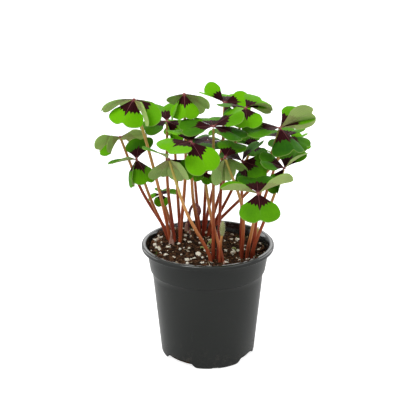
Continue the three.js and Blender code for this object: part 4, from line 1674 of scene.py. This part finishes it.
@dataclass
class YoungGrowth:
    """A furled leaf, a hooked shoot, a cut stub, and the sprouts and moss around them."""

    palette: Palette
    stem: StemBlank
    furled: Stations = (
        (9.4, -27.2, 78.4, 1.1), (9.8, -27, 97.6, 1.1), (11.3, -28, 116, 1), (11.8, -28, 119, 1.1),
    )
    furled_bud: Stations = (
        (11.5, -28, 117.2, 0.9), (11.9, -28, 120.5, 2.3), (12.1, -28, 124.5, 2.6), (12.2, -28, 128.2, 1.9),
        (12.2, -28, 130.6, 0.5),
    )
    hooked: Stations = (
        (-9.2, 34.4, 79, 1.5), (-19, 34.6, 93.2, 1.5), (-17.3, 32, 108.3, 1.4), (-15.4, 30, 121, 1.2),
        (-12, 28.6, 126, 1.1), (-8.4, 27.6, 124.6, 1.3), (-7.4, 27.2, 120, 1.7), (-8, 27.2, 115.5, 0.5),
    )
    stub: Stations = (
        (36.9, -6.6, 78.4, 1.5), (38.4, -5, 91.9, 1.5), (40.6, -5.6, 105, 1.4), (42.2, -6, 117, 1.3),
    )
    tufts: tuple[tuple[float, float, float, int], ...] = (
        (30, 34, 4.5, 90), (-44, -8, 2.6, 50), (44, -13, 3.0, 60), (-12, 45, 3.5, 70), (6, -42, 2.4, 40),
    )
    seeds: tuple[Pair, ...] = (
        (0.9, 14.0), (2.5, 11.5), (-1.5, -2.5), (-3.0, 0.5), (27.5, 4.0), (25.0, 1.5), (-0.5, 8.0),
    )
    sheaths: tuple[tuple[float, ...], ...] = (
        (-32.5, 6.5, 12.0, 1.5, 0.6), (-30.0, 5.0, 7.0, 1.2, -0.4), (-19.5, 31.0, 11.0, 1.6, 0.3),
        (-15.5, 26.0, 6.0, 1.1, -0.6), (13.0, -27.0, 5.0, 1.0, 0.5),
    )

    def tuft(self, strand: Strand, count: int, length: float, seed: int, low: float = 0.0) -> list[Piece]:
        """Sets fine hairs round a strand.

        Args:
            strand: The line that carries them.
            count: How many.
            length: Their full length in millimetres.
            seed: What their places are drawn from.
            low: The share of the strand where they start.

        Returns:
            The hairs.
        """
        down = Down(width=0.05, length=length, least=0.6, spread=0.8, lean=0.4, seat=0.85)
        hair = down.pattern()
        draw = random.Random(seed)
        laid = [down.hair(hair, strand, lerp(low, 0.98, draw.random()), draw) for _ in range(count)]
        discard(hair)
        return laid

    def furled_leaf(self) -> Piece:
        """Models the furled leaf: folded leaflets on a thin stem, covered in down."""
        stalk = self.stem.bent("furled_stalk", Strand(self.furled), 0.75)
        dress(stalk, self.palette.petiole)
        strand = Strand(self.furled_bud)
        bud = self.stem.bent("furled_bud", strand, 0.5)
        frames = strand.frames(self.stem.steps)

        def pleated(co: Vector) -> Vector:
            centre, normal, binormal, _ = min(frames, key=lambda f: (f[0] * MM - co).length)
            across = co - centre * MM
            turn = math.atan2(across.dot(binormal), across.dot(normal))
            return centre * MM + across * (1 - 0.26 * abs(math.sin(2 * turn + 0.5)) ** 0.7)

        reshape(bud, pleated)
        dress(bud, self.palette.bud)
        down = joined(self.tuft(strand, 240, 1.1, 3), "furled_down")
        dress(down, self.palette.down)
        return settle(joined([stalk, bud, down], "young_furled_leaf"), Slot.YOUNG, "furled_leaf")

    def hooked_shoot(self) -> Piece:
        """Models the hooked shoot with its bowed, still folded tip."""
        strand = Strand(self.hooked)
        shoot = self.stem.bent("hooked_stalk", strand, 0.3, 0.12)
        dress(shoot, self.palette.plum)
        down = joined(self.tuft(strand, 150, 0.9, 8, 0.45), "hooked_down")
        dress(down, self.palette.down)
        return settle(joined([shoot, down], "young_hooked_shoot"), Slot.YOUNG, "hooked_shoot")

    def cut_stub(self) -> Piece:
        """Models the stub of an old stalk with its dried, slanted end."""
        stub = self.stem.bent("old_stub", Strand(self.stub), 0.85)
        top = self.stub[-1]

        def slanted(co: Vector) -> Vector:
            if co.z < (top[2] - 1.5) * MM:
                return co
            return co + Vector((0, 0, (co.x - top[0] * MM) * 0.6 - 0.4 * MM))

        reshape(stub, slanted)
        return finished(stub, self.palette.petiole, Slot.YOUNG, "cut_stub")

    def sprouts(self, mix: PottingMix) -> Piece:
        """Models the pale sheaths and sprouts at the feet of the clumps."""
        laid = []
        for x, y, tall, radius, lean in self.sheaths:
            base = mix.surface(x, y) - 1.5
            stations = (
                (x, y, base, radius), (x + lean, y, base + tall * 0.5, radius * 0.9),
                (x + lean * 1.4, y - 0.3, base + tall * 0.85, radius * 0.6),
                (x + lean * 2.2, y - 0.4, base + tall, 0.2),
            )
            laid.append(self.stem.bent("sheath", Strand(stations), 0.5, 0.1))
        return finished(joined(laid, "clump_sheaths"), self.palette.sheath, Slot.YOUNG)

    def seedlings(self, mix: PottingMix) -> Piece:
        """Models a few curled pale green seedlings on the mix."""
        laid = []
        draw = random.Random(77)
        for x, y in self.seeds:
            base = mix.surface(x, y)
            turn = draw.random() * math.tau
            reach = 2.2 + 1.8 * draw.random()
            dx, dy = math.cos(turn) * reach, math.sin(turn) * reach
            stations = (
                (x, y, base - 0.5, 0.45), (x + dx * 0.3, y + dy * 0.3, base + 2.0, 0.5),
                (x + dx * 0.8, y + dy * 0.8, base + 2.6, 0.75),
                (x + dx * 1.1, y + dy * 1.1, base + 1.4, 0.25),
            )
            laid.append(self.stem.bent("seedling", Strand(stations), 0.5, 0.2))
        return finished(joined(laid, "seedlings"), self.palette.seedling, Slot.YOUNG)

    def moss(self, mix: PottingMix) -> Piece:
        """Sets low tufts of moss on the mix near the wall."""
        spike = spine("spike", 4, 0.24, 0.04)
        draw = random.Random(23)
        laid = []
        for cx, cy, spread, count in self.tufts:
            for _ in range(count):
                x, y = draw.gauss(cx, spread / 2), draw.gauss(cy, spread / 2)
                if math.hypot(x, y) > mix.rim_radius - 0.8:
                    continue
                turn = Matrix.Rotation(draw.random() * math.tau, 4, "Z")
                turn @= Matrix.Rotation(draw.random() * 0.7, 4, "X")
                at = Matrix.Translation((x * MM, y * MM, (mix.surface(x, y) - 0.15) * MM))
                size = (0.7 + 0.8 * draw.random()) * MM
                laid.append(copied(spike, "spike", at @ turn @ Matrix.Scale(size, 4)))
        discard(spike)
        return finished(joined(laid, "moss"), self.palette.moss, Slot.MIX)


# Studio


@dataclass
class Studio:
    """A pale floor, plain soft light and the camera at the photograph's angle."""

    camera_place: Triple = (0.0, -0.692, 0.368)
    camera_down: float = 18.8
    lens: float = 74.4
    shift_x: float = 0.0005
    floor_size: float = 14.0
    floor_glow: float = 0.8
    backdrop: float = 1.1
    daylight: float = 0.42
    gleam: float = 0.75

    def camera(self) -> Piece:
        """Sets up the camera."""
        data = bpy.data.cameras.new("camera")
        data.lens, data.sensor_width = self.lens, 36.0
        data.shift_x = self.shift_x
        data.clip_start, data.clip_end = 0.05, 50.0
        camera = bpy.data.objects.new("camera", data)
        camera.location = self.camera_place
        camera.rotation_euler = (math.radians(90 - self.camera_down), 0, 0)
        bpy.context.scene.collection.objects.link(camera)
        bpy.context.scene.camera = camera
        return camera

    def floor(self) -> Piece:
        """Lays the floor, a pale sheet that glows a little, as a light table does."""
        floor = primitive("floor", bpy.ops.mesh.primitive_plane_add, size=self.floor_size)
        coat = Finish("floor_sheet", 0.9, 0.1).open()
        clouds = coat.noise(coat.place(), 3.0, 2.0)
        sheet = coat.blend(clouds, (0.68, 0.68, 0.68), (0.72, 0.72, 0.72))
        coat.feed(coat.shader.inputs["Base Color"], sheet)
        coat.shader.inputs["Emission Color"].default_value = (1, 1, 1, 1)
        seen = coat.add("ShaderNodeLightPath").outputs["Is Camera Ray"]
        coat.feed(coat.shader.inputs["Emission Strength"], coat.times(seen, self.floor_glow))
        dress(floor, coat.material)
        return floor

    def lamp(self, name: str, place: Triple, size: float, power: float) -> None:
        """Hangs one soft square lamp that faces the plant.

        Args:
            name: The lamp's name.
            place: Where it hangs, in metres.
            size: Its side.
            power: Its power in watts.
        """
        data = bpy.data.lights.new(name, "AREA")
        data.size, data.energy = size, power
        lamp = bpy.data.objects.new(name, data)
        lamp.location = place
        lamp.rotation_euler = (Vector((0, 0, 0.15)) - Vector(place)).to_track_quat("-Z", "Y").to_euler()
        bpy.context.scene.collection.objects.link(lamp)

    def world(self) -> None:
        """Surrounds the plant with plain white light."""
        world = bpy.data.worlds.new("white_studio")
        world.use_nodes = True
        bpy.context.scene.world = world
        tree = Tree(world.node_tree)
        seen, lit = world.node_tree.nodes["Background"], tree.add("ShaderNodeBackground")
        seen.inputs[0].default_value = (1, 1, 1, 1)
        seen.inputs[1].default_value = self.backdrop
        lit.inputs[0].default_value = (1, 1, 1, 1)
        path = tree.add("ShaderNodeLightPath")
        tree.feed(lit.inputs[1], tree.fma(path.outputs["Is Glossy Ray"], self.gleam, self.daylight))
        inputs = {0: path.outputs["Is Camera Ray"], 1: lit.outputs[0], 2: seen.outputs[0]}
        mix = tree.add("ShaderNodeMixShader", inputs)
        tree.feed(world.node_tree.nodes["World Output"].inputs[0], mix.outputs[0])

    def build(self) -> None:
        """Sets up the whole studio."""
        self.floor()
        self.lamp("key_light", (-0.55, -0.75, 1.25), 0.6, 10.0)
        self.lamp("fill_light", (0.95, -0.6, 0.8), 0.9, 3.0)
        self.lamp("back_light", (0.1, 1.0, 0.9), 0.9, 4.0)
        self.lamp("left_strip", (-0.8, 0.35, 0.14), 0.7, 4.0)
        self.lamp("right_strip", (0.8, 0.35, 0.14), 0.7, 4.0)
        self.world()
        bpy.context.scene.view_settings.view_transform = "Standard"


def main() -> None:
    """Builds the studio and the plant, piece by piece."""
    logging.basicConfig(level=logging.INFO, format="%(name)s: %(message)s")
    studio = Studio()
    studio.camera()
    studio.build()
    palette = Palette()
    stem = StemBlank()
    mix = PottingMix(palette)
    petioles = Petioles(palette, stem)
    young = YoungGrowth(palette, stem)
    makers: tuple[Callable, ...] = (
        NurseryPot(palette).build,
        mix.body,
        mix.crumbs,
        mix.perlite,
        lambda: mix.roots(stem),
        Bulbs(palette).build,
        petioles.build,
        petioles.hairs,
        Leaves(palette).build,
        young.furled_leaf,
        young.hooked_shoot,
        young.cut_stub,
        lambda: young.sprouts(mix),
        lambda: young.seedlings(mix),
        lambda: young.moss(mix),
    )
    for make in makers:
        made = make()
        for piece in made if isinstance(made, list) else [made]:
            log.info("made %s, %d faces", piece.name, len(piece.data.polygons))
    discard(stem.blank)
    put_down()


if __name__ == "__main__":
    main()
